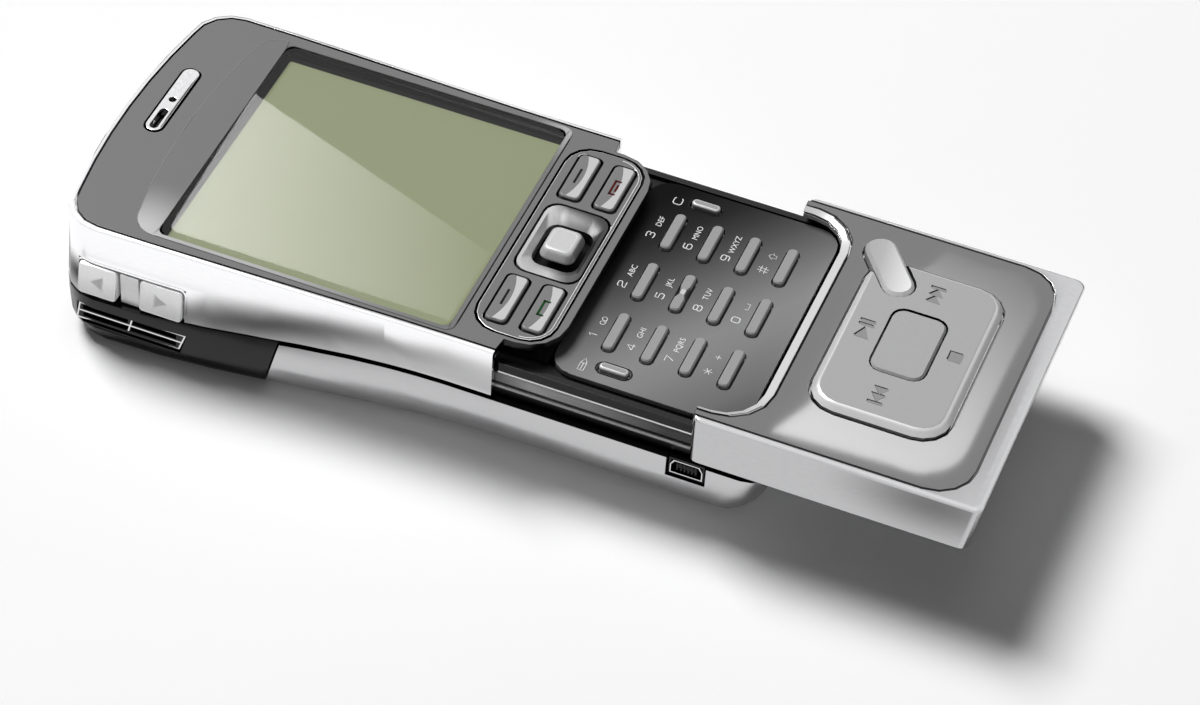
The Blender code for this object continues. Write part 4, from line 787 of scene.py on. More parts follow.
    def stroke(
        self, name: str, paths: Iterable[Outline], width: float, base: float, thickness: float
    ) -> Piece:
        """Drawn lines of an even width, such as a printed digit.

        Args:
            name: The piece's name.
            paths: The lines to draw.
            width: How wide each line is.
            base: The height of their lower face.
            thickness: How thick they are.

        Returns:
            The piece.
        """
        piece = self.drawn(name, paths, closed=False)
        piece.data.bevel_depth = width / 2
        piece.data.bevel_resolution = 1
        piece.data.use_fill_caps = True
        piece.scale.z = thickness / width
        piece.location.z = base + thickness / 2
        return self.as_mesh(piece)

    def strip(self, name: str, paths: Iterable[Outline], width: float, base: float, top: float) -> Piece:
        """Square-cut flat lines, each leg a bar along or across the phone.

        Args:
            name: The piece's name.
            paths: The lines.
            width: How wide each line is.
            base: The height of their lower face.
            top: The height of their upper one.

        Returns:
            The piece.
        """
        half = width / 2
        bars = []
        for path in paths:
            for (x0, y0), (x1, y1) in zip(path, path[1:]):
                low = (min(x0, x1) - half, min(y0, y1) - half, base)
                bars.append(self.cube(name, low, (max(x0, x1) + half, max(y0, y1) + half, top)))
        piece = joined(bars, name)
        self.round_edges(piece, self.INK_ROUND, 1)
        return piece

    def word(self, letters: str, place: Point, height: float) -> Piece:
        """A printed word that reads across the phone.

        Args:
            letters: Its letters.
            place: Where its middle lies on the face under it.
            height: Its type size.

        Returns:
            The piece.
        """
        bpy.ops.object.select_all(action="DESELECT")
        bpy.ops.object.text_add(location=place)
        piece = bpy.context.active_object
        text = piece.data
        text.body, text.size = letters, height
        text.align_x, text.align_y = "CENTER", "CENTER"
        text.extrude = self.INK
        text.space_character = self.LETTER_SPACING
        text.resolution_u = 3
        return self.as_mesh(piece)

    def as_mesh(self, piece: Piece) -> Piece:
        """Turns a curve into a mesh with its place applied.

        Args:
            piece: The curve object.

        Returns:
            The same object, now a mesh with its doubles merged and its faces outwards.
        """
        select_only(piece)
        bpy.ops.object.convert(target="MESH")
        with opened(settle(piece)):
            bpy.ops.mesh.remove_doubles(threshold=self.DOUBLES)
            bpy.ops.mesh.normals_make_consistent(inside=False)
        return piece

    def refined(
        self,
        node: str,
        look: Look,
        edge: float = 0.0,
        steps: int = 2,
        edge_look: Look | None = None,
        wall_look: Look | None = None,
        wide: EdgeTest | None = None,
        wide_edge: float = 0.0,
    ) -> Piece:
        """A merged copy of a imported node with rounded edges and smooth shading, which stands for it.

        Args:
            node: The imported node.
            look: Its finish.
            edge: The width of the round on its edges.
            steps: How many faces that round has.
            edge_look: Another finish for the rounded edges.
            wall_look: Another finish for the upright sides.
            wide: Says whether an edge gets the wider round.
            wide_edge: The wider round's width.

        Returns:
            The piece.
        """
        flat = {"angle_limit": math.radians(self.FLAT)}
        mesh = frame["nodes"][node].data.copy()
        piece = put_in_scene(node + "_shape", mesh)
        with opened(piece):
            bpy.ops.mesh.remove_doubles(threshold=self.DOUBLES)
            bpy.ops.mesh.customdata_custom_splitnormals_clear()
            bpy.ops.mesh.dissolve_limited(**flat)
        mesh.materials.clear()
        for worn in (look, edge_look or look, wall_look or look):
            mesh.materials.append(worn.finish())
        if wide:
            self.bevel_edges(piece, wide, wide_edge, self.WIDE_STEPS)
            with opened(piece):
                bpy.ops.mesh.dissolve_limited(**flat)
        for side in mesh.polygons:
            rise = abs(side.normal.z)
            in_round = wide and self.WIDE_ROUND[0] < rise < self.WIDE_ROUND[1]
            side.material_index = 1 if in_round else 2 if rise < self.WALL else 0
        if edge:
            self.round_edges(piece, edge, steps, 1 if edge_look else -1)
        return self.hand_over(piece, look, node)

    def round_edges(self, piece: Piece, edge: float, steps: int, slot: int = -1) -> None:
        """Rounds a piece's sharp edges with a bevel modifier and applies it.

        Args:
            piece: The piece.
            edge: The round's width.
            steps: How many faces it has.
            slot: The material slot of the new faces, or -1 to keep the neighbours'.
        """
        select_only(piece)
        modifier = piece.modifiers.new("edge_round", "BEVEL")
        modifier.width = edge
        modifier.segments = steps
        modifier.limit_method = "ANGLE"
        modifier.angle_limit = math.radians(self.CRISP)
        modifier.material = slot
        modifier.harden_normals = False
        bpy.ops.object.modifier_apply(modifier=modifier.name)

    def hand_over(self, piece: Piece, look: Look, node: str, stands_for: bool = True) -> Piece:
        """Gives a piece its finish and its body, and shades it smooth.

        Args:
            piece: The piece.
            look: Its finish.
            node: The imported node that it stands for, or that it sits on.
            stands_for: Whether the node is hidden behind it.

        Returns:
            The piece.
        """
        if not piece.data.materials:
            piece.data.materials.append(look.finish())
        select_only(piece)
        bpy.ops.object.shade_smooth_by_angle(angle=math.radians(self.CRISP))
        modifier = piece.modifiers.new("even_shading", "WEIGHTED_NORMAL")
        modifier.keep_sharp = True
        modifier.weight = 100
        bpy.ops.object.modifier_apply(modifier=modifier.name)
        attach(piece, frame["nodes"][node]["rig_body"])
        if stands_for:
            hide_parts(node)
        node in self.slots
        LOG.info("%s: %d faces", piece.name, len(piece.data.polygons))
        return piece

    def dress(self, node: str, look: Look) -> None:
        """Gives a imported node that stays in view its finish.

        Args:
            node: The node.
            look: Its finish.
        """
        mesh = frame["nodes"][node].data
        mesh.materials.clear()
        mesh.materials.append(look.finish())
        LOG.info("%s: packed shape kept", node)


@dataclass
class Studio:
    """The camera at the photograph's angle, the floor, the lights and what the gloss mirrors.

    Attributes:
        camera_place: Where the camera stands.
        camera_turn: Its turn about each axis, in degrees.
        lens_mm: Its focal length.
        film_mm: The width of its film.
        floor_size: The width of the floor.
        floor_lift: How strongly the floor glows where the camera sees it.
        soft_light: The strength of the light from all round.
        face_height: The height of the phone's face.
        card_height: The height of the bright cards above the floor.
        window_card: What part of the face one card shows in, by the display.
        cover_card: The same for the other, on the cover.
        card_low: The cards' strength at their dim end.
        card_high: Their strength at their bright end.
        flag_radius: How far off the dark flag stands.
        flag_height: The flag's height.
        mat_reach: Half the length of the mat on the floor, and its far end.
        mat_edge: Where the mat begins beside the phone.
        screen_foot: Where the low screen stands round the housing's near corner.
        screen_height: The screen's height.
        lacquered: The pieces whose gloss shows the bright cards.
    """

    camera_place: Point = (-0.39340, -0.15433, 0.42358)
    camera_turn: Point = (44.4955, -3.0242, -68.2045)
    lens_mm: float = 120.0
    film_mm: float = 36.0
    floor_size: float = 30.0
    floor_lift: float = 0.02
    soft_light: float = 0.04
    face_height: float = 0.0216
    card_height: float = 0.6
    window_card: tuple[tuple[float, float], ...] = (
        (-0.0213, -0.0053),
        (-0.0063, -0.0053),
        (0.0105, 0.0401),
        *arc(-0.0198, 0.0373, 0.0015, 90, 90),
    )
    cover_card: tuple[tuple[float, float], ...] = (
        (-0.0225, -0.0544),
        (-0.0150, -0.0576),
        (0.0, -0.0605),
        (0.0175, -0.0639),
        (0.0225, -0.0655),
        *arc(0.0150, -0.0741, 0.0075, 0, -90),
        *arc(-0.0150, -0.0741, 0.0075, -90, -90),
    )
    card_low: float = 1.2
    card_high: float = 12.0
    flag_radius: float = 0.75
    flag_height: float = 0.24
    mat_reach: float = 0.2
    mat_edge: float = -0.029
    screen_foot: tuple[tuple[float, float], ...] = (
        (-0.036, -0.012),
        (-0.036, 0.054),
        (-0.032, 0.0605),
        (-0.008, 0.0605),
    )
    screen_height: float = 0.03
    lacquered: bpy.types.Collection | None = None

    def build(self) -> None:
        """Adds everything that isn't the phone."""
        self.lacquered = bpy.data.collections.new("lacquered")
        self.camera()
        self.floor()
        self.world()
        for name, place, size, watts in (
            ("key_softbox", (0.75, 1.5, 2.55), (1.2, 1.2), 98.0),
            ("front_softbox", (-0.75, -0.55, 0.5), (0.9, 0.6), 0.4),
            ("top_softbox", (-0.1, -0.1, 1.0), (0.8, 0.8), 0.25),
        ):
            self.lamp(name, place, size, watts)
        for name, outline, bright, dim in (
            ("window", self.window_card, (-0.022, 0.040), (0.000, -0.004)),
            ("cover", self.cover_card, (-0.024, -0.060), (0.024, -0.075)),
        ):
            self.card(f"{name}_card", outline, self.graded(f"{name}_glow", bright, dim))
        self.flag()
        self.mat()
        self.screen()

    def camera(self) -> None:
        """Adds the camera."""
        data = bpy.data.cameras.new("camera")
        data.lens = self.lens_mm
        data.sensor_width = self.film_mm
        data.clip_start, data.clip_end = 0.01, 50.0
        camera = put_in_scene("camera", data)
        camera.location = self.camera_place
        camera.rotation_euler = [math.radians(turn) for turn in self.camera_turn]
        bpy.context.scene.camera = camera

    def floor(self) -> None:
        """Adds a plain white floor that runs far beyond the view."""
        bpy.ops.object.select_all(action="DESELECT")
        bpy.ops.mesh.primitive_plane_add(size=self.floor_size, location=(0.0, 0.0, 0.0))
        floor = bpy.context.active_object
        floor.name = "floor"
        made = bpy.data.materials.new("white_paper")
        made.use_nodes = True
        tree = made.node_tree
        shader = tree.nodes["Principled BSDF"].inputs
        shader["Roughness"].default_value = 1.0
        shader["Specular IOR Level"].default_value = 0.0
        shader["Base Color"].default_value = linear("#FFFFFF")
        shader["Emission Color"].default_value = linear("#FFFFFF")
        seen = add_node(tree, "LightPath", out="Is Camera Ray")
        lift = add_node(tree, "Math", {"operation": "MULTIPLY", 0: seen, 1: self.floor_lift})
        tree.links.new(lift, shader["Emission Strength"])
        floor.data.materials.append(made)

    def world(self) -> None:
        """Makes the surroundings: soft light, and white where the camera or a mirror sees them."""
        world = bpy.data.worlds.new("studio")
        bpy.context.scene.world = world
        world.use_nodes = True
        tree = world.node_tree
        tree.nodes.clear()
        path = tree.nodes.new("ShaderNodeLightPath").outputs
        seen = path["Is Camera Ray"]
        for name in ("Is Glossy Ray", "Is Transmission Ray"):
            seen = add_node(tree, "Math", {"operation": "MAXIMUM", 0: seen, 1: path[name]})
        soft, white = (
            add_node(tree, "Background", {"Color": linear("#FFFFFF"), "Strength": strength})
            for strength in (self.soft_light, 1.0)
        )
        both = add_node(tree, "MixShader", {0: seen, 1: soft, 2: white})
        tree.links.new(both, tree.nodes.new("ShaderNodeOutputWorld").inputs["Surface"])

    def lamp(self, name: str, place: Point, size: tuple[float, float], watts: float) -> None:
        """Adds a softbox that faces the phone.

        Args:
            name: Its name.
            place: Where it stands.
            size: Its width and height.
            watts: Its power.
        """
        data = bpy.data.lights.new(name, "AREA")
        data.shape = "RECTANGLE"
        data.size, data.size_y = size
        data.energy = watts
        lamp = put_in_scene(name, data)
        lamp.location = place
        lamp.rotation_euler = (-Vector(place)).to_track_quat("-Z", "Y").to_euler()

    def mirrored(self, x: float, y: float) -> Vector:
        """The place at the cards' height that the camera sees mirrored in a spot of the face.

        Args:
            x: The spot's place across.
            y: Its place along.

        Returns:
            The place.
        """
        eye = Vector(self.camera_place)
        eye.z = 2 * self.face_height - eye.z
        spot = Vector((x, y, self.face_height))
        return eye + (spot - eye) * (self.card_height - eye.z) / (self.face_height - eye.z)

    def card(self, name: str, outline: Iterable[tuple[float, float]], finish: Material) -> None:
        """Adds a card that shows only in the gloss of the lacquered pieces.

        Args:
            name: Its name.
            outline: What part of the face it shows in.
            finish: Its finish.
        """
        points = [self.mirrored(x, y) for x, y in outline]
        card = from_points(name, points, [range(len(points))])
        card.data.materials.append(finish)
        card.light_linking.receiver_collection = self.lacquered
        self.only_in_gloss(card)

    def graded(self, name: str, bright: tuple[float, float], dim: tuple[float, float]) -> Material:
        """A strong glow with an even fade.

        Args:
            name: Its name.
            bright: The spot of the face where the card is brightest.
            dim: The spot where it is dimmest.

        Returns:
            The material.
        """
        made, tree, place = start_material(name, empty=True)
        start, end = self.mirrored(*bright), self.mirrored(*dim)
        tone = Fade(tuple(start), tuple(end), ((0.0, "#FFFFFF"), (1.0, "#000000"))).tone(tree, place)
        span = self.card_high - self.card_low
        power = {"operation": "MULTIPLY_ADD", 0: tone, 1: span, 2: self.card_low}
        return glowing(made, None, add_node(tree, "Math", power))

    def flag(self) -> None:
        """Adds a dark strip all round, low down, which draws the dark line in polished metal."""
        half = self.flag_height / 2
        bpy.ops.object.select_all(action="DESELECT")
        bpy.ops.mesh.primitive_cylinder_add(
            vertices=96,
            radius=self.flag_radius,
            depth=self.flag_height,
            end_fill_type="NOTHING",
            location=(0.0, 0.0, half),
        )
        flag = bpy.context.active_object
        flag.name = "dark_flag"
        tones = ((0.0, "#101010"), (0.35, "#404040"), (0.7, "#B8B8B8"), (1.0, "#FFFFFF"))
        rise = Fade((0.0, 0.0, -half), (0.0, 0.0, half), tones)
        flag.data.materials.append(self.lit("graded_cloth", rise))
        self.only_in_gloss(flag)

    def mat(self) -> None:
        """Adds a mat on the floor beside the phone whose dark spot shades the flared side."""
        middle = ((self.mat_edge - self.mat_reach) / 2, 0.0, MM)
        bpy.ops.object.select_all(action="DESELECT")
        bpy.ops.mesh.primitive_plane_add(size=1.0, location=middle)
        mat = bpy.context.active_object
        mat.name = "shaded_mat"
        mat.scale = (self.mat_reach + self.mat_edge, 2 * self.mat_reach, 1.0)
        settle(mat)
        spots = (Glow((-0.0430, -0.0760, MM), (0.0090, 0.0200, 1.0), "#8A8A8A"),)
        mat.data.materials.append(self.lit("graded_paper", None, spots, "#EAEAEA"))
        self.only_in_gloss(mat)

    def screen(self) -> None:
        """Adds the low screen round the housing's near corner that draws the dark line along it."""
        vertices = [(x, y, z) for x, y in self.screen_foot for z in (0.0, self.screen_height)]
        faces = [(at, at + 2, at + 3, at + 1) for at in range(0, len(vertices) - 2, 2)]
        screen = from_points("shaded_screen", vertices, faces)
        tones = ((0.0, "#A8A8A8"), (0.4, "#B8B8B8"), (0.68, "#CFCFCF"), (0.88, "#FFFFFF"), (1.0, "#FFFFFF"))
        rise = Fade((0.0, 0.0, 0.0), (0.0, 0.0, 0.01), tones)
        spots = (
            Glow((-0.036, 0.0240, 0.0055), (1.0, 0.0400, 0.0036), "#404040"),
            Glow((-0.027, 0.0605, 0.0052), (0.0120, 0.0100, 0.0034), "#3C3C3C"),
        )
        screen.data.materials.append(self.lit("graded_card", rise, spots, strength=1.15))
        self.only_in_gloss(screen)

    def lit(
        self,
        name: str,
        fade: Fade | None,
        spots: tuple[Glow, ...] = (),
        base: str = "#FAFAFA",
        strength: float = 1.0,
    ) -> Material:
        """A glowing finish for what only gloss shows.

        Args:
            name: Its name.
            fade: Its run of tones, or None for an even one.
            spots: Soft patches on it.
            base: Its even tone.
            strength: How strongly it glows, 1 being as written.

        Returns:
            The material.
        """
        made, tree, place = start_material(name, empty=True)
        if fade:
            tone = fade.tone(tree, place)
        else:
            tone = add_node(tree, "RGB")
            tone.default_value = linear(base)
        for spot in spots:
            tone = spot.tone(tree, place, tone)
        return glowing(made, tone, strength)

    def only_in_gloss(self, thing: Piece) -> None:
        """Marks a thing as part of the studio that only gloss shows.

        Args:
            thing: The thing.
        """
        thing.visible_camera = thing.visible_diffuse = thing.visible_shadow = False
        thing.visible_transmission = False


def upright(x: float) -> Outline:
    """An icon's upright bar, in millimetres, at a place across."""
    return [(x - 0.2, -1.1), (x + 0.2, -1.1), (x + 0.2, 1.1), (x - 0.2, 1.1)]


def ellipse(x: float, y: float, half_width: float, half_height: float, steps: int = 12) -> Outline:
    """A closed ellipse of straight legs."""
    turns = [math.tau * step / steps for step in range(steps + 1)]
    return [(x + half_width * math.cos(turn), y + half_height * math.sin(turn)) for turn in turns]


# Arrow heads of the music pad, in millimetres: a large one, and two small ones in a row.
TRIANGLE: Outline = [(-1.5, -1.05), (0.7, 0.0), (-1.5, 1.05)]
PAIR: list[Outline] = [
    [(-1.5, -1.05), (-0.1, 0.0), (-1.5, 1.05)],
    [(-0.1, -1.05), (1.3, 0.0), (-0.1, 1.05)],
]
PAIR_TURNED: list[Outline] = [[(-x, y) for x, y in reversed(loop)] for loop in PAIR]
STOP: Outline = [(-0.95, -0.95), (0.95, -0.95), (0.95, 0.95), (-0.95, 0.95)]
MUSIC_ICONS: dict[str, tuple[tuple[float, float], list[Outline]]] = {
    "play": ((0.5, -60.07), [TRIANGLE, upright(1.2), upright(2.0)]),
    "previous": ((-10.7, -66.12), [*PAIR_TURNED, upright(-1.7)]),
    "next": ((11.5, -67.22), [*PAIR, upright(1.5)]),
    "stop": ((0.8, -73.67), [STOP]),
}

# The lines of each printed sign, on a unit square.
STROKES: dict[str, list[Outline]] = {
    "0": [[(0.2, 0), (0.8, 0), (1, 0.2), (1, 0.8), (0.8, 1), (0.2, 1), (0, 0.8), (0, 0.2), (0.2, 0)]],
    "1": [[(0.3, 0.75), (0.62, 1), (0.62, 0)]],
    "2": [
        [(0, 0.82), (0.2, 1), (0.8, 1), (1, 0.85), (1, 0.65)]
        + [(0.8, 0.52), (0.25, 0.42), (0, 0.25), (0, 0), (1, 0)]
    ],
    "3": [
        [(0, 0.88), (0.2, 1), (0.8, 1), (1, 0.85), (1, 0.66), (0.85, 0.52), (0.4, 0.52)],
        [(0.85, 0.52), (1, 0.36), (1, 0.16), (0.8, 0), (0.2, 0), (0, 0.12)],
    ],
    "4": [[(0.72, 0), (0.72, 1), (0, 0.36), (0, 0.26), (1, 0.26)]],
    "5": [
        [(0.95, 1), (0.1, 1), (0.1, 0.6), (0.8, 0.6)]
        + [(1, 0.45), (1, 0.15), (0.8, 0), (0.2, 0), (0, 0.12)]
    ],
    "6": [
        [(0.92, 1), (0.2, 1), (0, 0.8), (0, 0.2), (0.2, 0)]
        + [(0.8, 0), (1, 0.2), (1, 0.4), (0.8, 0.58), (0, 0.58)]
    ],
    "7": [[(0, 1), (1, 1), (0.4, 0)]],
    "8": [
        [(0.2, 0.53), (0.05, 0.66), (0.05, 0.86), (0.2, 1)]
        + [(0.8, 1), (0.95, 0.86), (0.95, 0.66), (0.8, 0.53), (0.2, 0.53)],
        [(0.2, 0.53), (0, 0.38), (0, 0.14), (0.2, 0), (0.8, 0), (1, 0.14), (1, 0.38), (0.8, 0.53)],
    ],
    "9": [
        [(0.08, 0), (0.8, 0), (1, 0.2), (1, 0.8), (0.8, 1)]
        + [(0.2, 1), (0, 0.8), (0, 0.6), (0.2, 0.42), (1, 0.42)]
    ],
    "hash": [
        [(0.28, 0), (0.4, 1)],
        [(0.64, 0), (0.76, 1)],
        [(0.02, 0.3), (1, 0.3)],
        [(0.06, 0.7), (1.04, 0.7)],
    ],
    "star": [[(0.5, 0.2), (0.5, 0.8)], [(0.24, 0.35), (0.76, 0.65)], [(0.24, 0.65), (0.76, 0.35)]],
    "plus": [[(0.22, 0.5), (0.78, 0.5)], [(0.5, 0.15), (0.5, 0.85)]],
    "C": [[(1, 0.85), (0.8, 1), (0.2, 1), (0, 0.8), (0, 0.2), (0.2, 0), (0.8, 0), (1, 0.15)]],
    "tape": [ellipse(0.22, 0.5, 0.24, 0.3), ellipse(0.80, 0.5, 0.24, 0.3), [(0.22, 0.2), (0.80, 0.2)]],
    "space": [[(0.1, 0.5), (0.1, 0.1), (0.9, 0.1), (0.9, 0.5)]],
    "shift": [
        [(0.5, 1), (0.95, 0.5), (0.7, 0.5), (0.7, 0.05), (0.3, 0.05), (0.3, 0.5), (0.05, 0.5), (0.5, 1)]
    ],
    "pencil": [
        [(0, 0.2), (0.65, 0.2), (1, 0.5), (0.65, 0.8), (0, 0.8), (0, 0.2)],
        [(0.65, 0.2), (0.58, 0.5), (0.65, 0.8)],
        [(0, 0.5), (0.58, 0.5)],
    ],
}
DIGIT_OF_KEY = {f"key_{digit}": str(digit) for digit in range(10)} | {"key_hash": "hash", "key_star": "star"}
SIGN_GROWTH = {"hash": 1.35, "star": 1.9}
ICON_OF_KEY = {"key_1": "tape", "key_star": "plus", "key_0": "space", "key_hash": "shift"}
LETTERS = ("ABC", "DEF", "GHI", "JKL", "MNO", "PQRS", "TUV", "WXYZ")
WORD_OF_KEY = {f"key_{digit}": letters for digit, letters in enumerate(LETTERS, 2)}


def placed(glyph: str, spot: tuple[float, float], size: tuple[float, float]) -> list[Outline]:
    """Puts a printed sign's strokes in their place.

    Args:
        glyph: Which sign.
        spot: Where its middle lies.
        size: Its width and height.

    Returns:
        The strokes in metres.
    """
    (x, y), (width, height) = spot, size
    return [[(x + (a - 0.5) * width, y + (b - 0.5) * height) for a, b in path] for path in STROKES[glyph]]


@dataclass
class Assembly:
    """A group of pieces that are built together.

    Attributes:
        bench: Where pieces are made.
    """

    bench: Bench

    def build(self) -> None:
        """Builds the pieces."""
        raise NotImplementedError

    def add(self, piece: Piece, look: Look, node: str) -> None:
        """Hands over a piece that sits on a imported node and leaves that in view."""
        self.bench.hand_over(piece, look, node, stands_for=False)


@dataclass
class Shells(Assembly):
    """The silver housing, the black rear shell, the silver back cover and what is set in them.

    Attributes:
        edge: The round on the shells' edges.
        button_edge: The round on the buttons' edges.
        fine_edge: The round on the grille and on the USB socket.
        level: How far up the normal of a level face points.
        slit_height: The height over which the back cover's level faces are black, as its slit shows.
        firm_spot: A place along and a height where the housing's side is whole.
        side_foot: The lowest height at which that side is measured.
        frame_width: The width of the bright line round the volume keys.
        frame_proud: How far it stands proud.
        frame_foot: The height of its feet.
        frame_corner: The radius of its inner corners.
        bridge_ends: Where the plate between the volume keys begins and ends.
        bridge_height: The height at which the side under that plate is measured.
        bridge_inner: How far in the plate reaches.
        arrow: The half length of the arrows on the volume keys.
        grille_line: The width of the grille's bright lines.
        sleeve_line: The width of the line round the USB socket's mouth.
        contact_pitch: How far apart its contacts stand.
        contacts: How many there are.
        housing: The silver housing, once it is built.
    """

    edge: float = 0.25 * MM
    button_edge: float = 0.1 * MM
    fine_edge: float = 0.06 * MM
    level: float = 0.9
    slit_height: float = 8.0 * MM
    firm_spot: tuple[float, float] = (33.0 * MM, 16.4 * MM)
    side_foot: float = 10.6 * MM
    frame_width: float = 0.3 * MM
    frame_proud: float = 0.12 * MM
    frame_foot: float = 10.4 * MM
    frame_corner: float = 0.9 * MM
    bridge_ends: tuple[float, float] = (41.2 * MM, 44.2 * MM)
    bridge_height: float = 12.4 * MM
    bridge_inner: float = -24.3 * MM
    arrow: float = 0.95 * MM
    grille_line: float = 0.26 * MM
    sleeve_line: float = 0.15 * MM
    contact_pitch: float = 0.56 * MM
    contacts: int = 6
    housing: Piece | None = None

    def build(self) -> None:
        """Builds the pieces."""
        refined = self.bench.refined
        self.housing = refined("upper_housing", Look.NICKEL, self.edge, 3)
        refined("rear_shell", Look.BLACK, self.edge)
        cover = refined("back_cover", Look.SATIN, self.edge)
        cover.data.materials.append(Look.BLACK.finish())
        for side in cover.data.polygons:
            if side.normal.z > self.level and side.center.z > self.slit_height:
                side.material_index = 3
        refined("speaker_grille", Look.BLACK, self.fine_edge, 1)
        self.grille_lines()
        for node in ("volume_key_down", "volume_key_up"):
            self.arrow_on(refined(node, Look.PEARL), node)
        self.bridge()
        self.frame()
        refined("usb_socket", Look.BLACK, self.fine_edge, 1)
        self.usb_details()
        refined("power_button", Look.SILVER_KEY, self.button_edge)
        refined("hold_switch", Look.SILVER_KEY, self.button_edge)
        refined("headphone_jack", Look.BLACK)
        refined("camera", Look.BLACK, self.button_edge)

    def side_at(self, y: float, z: float) -> float:
        """How far out the housing's side stands.

        Args:
            y: The place along.
            z: The height.

        Returns:
            Its place across, on the volume keys' side.
        """
        bpy.context.view_layer.update()
        outside, inwards = -40 * MM, Vector((1.0, 0.0, 0.0))
        firm_y, firm_z = self.firm_spot

        def hit(along: float, up: float) -> float:
            """Where a straight line from outside meets the housing."""
            return self.housing.ray_cast(Vector((outside, along, up)), inwards)[1].x

        return hit(y, firm_z) + hit(firm_y, max(z, self.side_foot)) - hit(firm_y, firm_z)

    def arrow_on(self, key: Piece, node: str) -> None:
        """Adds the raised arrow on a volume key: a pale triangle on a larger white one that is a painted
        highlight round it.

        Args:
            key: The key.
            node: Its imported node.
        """
        face = max(key.data.polygons, key=lambda side: -side.normal.x * side.area)
        tip = 1.0 if node.endswith("up") else -1.0
        size, sunk, tail, head = self.arrow, 0.2 * MM, -0.8, 0.9
        triangle = [(tail * size, -size), (head * size, 0.0), (tail * size, size)]
        for name, grow, proud, look in (
            ("arrow_edge", 1.28, 0.03 * MM, Look.WHITE_INK),
            ("arrow", 0.92, 0.06 * MM, Look.SILVER_KEY),
        ):
            loop = [(-tip * x * grow, y * grow) for x, y in triangle]
            loop = loop if tip < 0 else loop[::-1]
            piece = self.bench.flat_shape(f"{node}_{name}", [loop], -sunk, sunk + proud)
            piece.rotation_euler = face.normal.to_track_quat("Z", "Y").to_euler()
            piece.location = face.center
            self.add(settle(piece), look, node)

    def bridge(self) -> None:
        """Adds the plate between the volume keys."""
        key_low, key_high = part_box("volume_key_down")
        start, end = self.bridge_ends
        sunk, below, step_down = 0.15 * MM, 0.5 * MM, 0.1 * MM
        low = (self.side_at((start + end) / 2, self.bridge_height) + sunk, start, key_low.z - below)
        high = (self.bridge_inner, end, key_high.z - step_down)
        self.add(self.bench.bar("volume_bridge", low, high, sunk, 2), Look.PEARL, "upper_housing")

    def grille_lines(self) -> None:
        """Adds the grille's thin bright lines: its leaning outline, a cross bar and an upright."""
        low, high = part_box("speaker_grille")
        points = [vertex.co for vertex in frame["nodes"]["speaker_grille"].data.vertices]
        slack, proud = 0.01 * MM, 0.05 * MM
        foot = [point.y for point in points if point.z < low.z + slack]
        head = [point.y for point in points if point.z > high.z - slack]

        def spot(along: float, up: float) -> tuple[float, float]:
            """Places a spot of the grille.

            Args:
                along: Its share of the way along.
                up: Its share of the way up.

            Returns:
                Its height and its place along.
            """
            start = min(foot) + (min(head) - min(foot)) * up
            end = max(foot) + (max(head) - max(foot)) * up
            return low.z + (high.z - low.z) * up, start + (end - start) * along

        def part(start: float, end: float, base: float, top: float) -> Outline:
            """The outline of a part of the grille, from its shares along and up."""
            return [spot(start, base), spot(end, base), spot(end, top), spot(start, top)]

        side, rise = self.grille_line / (high.y - low.y), self.grille_line / (high.z - low.z)
        loops = [part(0, 1, 0, 1)]
        for start, end in ((side, 0.5 - side / 2), (0.5 + side / 2, 1 - side)):
            for base, top in ((rise, 0.5 - rise / 2), (0.5 + rise / 2, 1 - rise)):
                loops.append(part(start, end, base, top))
        self.add(self.bench.on_side("grille_lines", loops, low.x, proud), Look.NICKEL, "speaker_grille")

    def usb_details(self) -> None:
        """Adds the socket's bright sleeve line and its contacts."""
        low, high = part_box("usb_socket")
        middle = (low.y + high.y) / 2
        proud, edge = 0.03 * MM, 0.05 * MM
        mouth_top, mouth_shoulder, mouth_base = high.z - 0.35 * MM, high.z - 1.3 * MM, low.z + 0.3 * MM
        half_narrow, half_wide = 1.95 * MM, 2.45 * MM
        start, end, half, margin = 0.1 * MM, 1.2 * MM, 0.15 * MM, 0.9 * MM

        def sleeve(inset: float) -> Outline:
            """Draws the sleeve's outline, which is wider at its foot.

            Args:
                inset: How far it is set in.

            Returns:
                The outline in height and place along.
            """
            top, base = mouth_top - inset, mouth_base + inset
            narrow, wide = half_narrow - inset, half_wide - inset
            return [
                (base, middle - wide),
                (base, middle + wide),
                (mouth_shoulder, middle + wide),
                (top, middle + narrow),
                (top, middle - narrow),
                (mouth_shoulder, middle - wide),
            ]

        ring = self.bench.on_side("usb_sleeve", [sleeve(0.0), sleeve(self.sleeve_line)], low.x, proud)
        self.add(ring, Look.NICKEL, "usb_socket")
        for count in range(self.contacts):
            y = middle + (count - (self.contacts - 1) / 2) * self.contact_pitch
            foot = (low.x + start, y - half, low.z + margin)
            head = (low.x + end, y + half, high.z - margin)
            contact = self.bench.bar(f"usb_contact_{count + 1}", foot, head, edge)
            self.add(contact, Look.LEDGE, "usb_socket")

    def frame(self) -> None:
        """Adds the bright line round the volume keys' recess, which follows the side."""
        down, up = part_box("volume_key_down"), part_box("volume_key_up")
        gap, deep, steps = 0.2 * MM, 0.7 * MM, 16
        low_y, high_y, top = down[0].y - gap, up[1].y + gap, down[1].z + gap

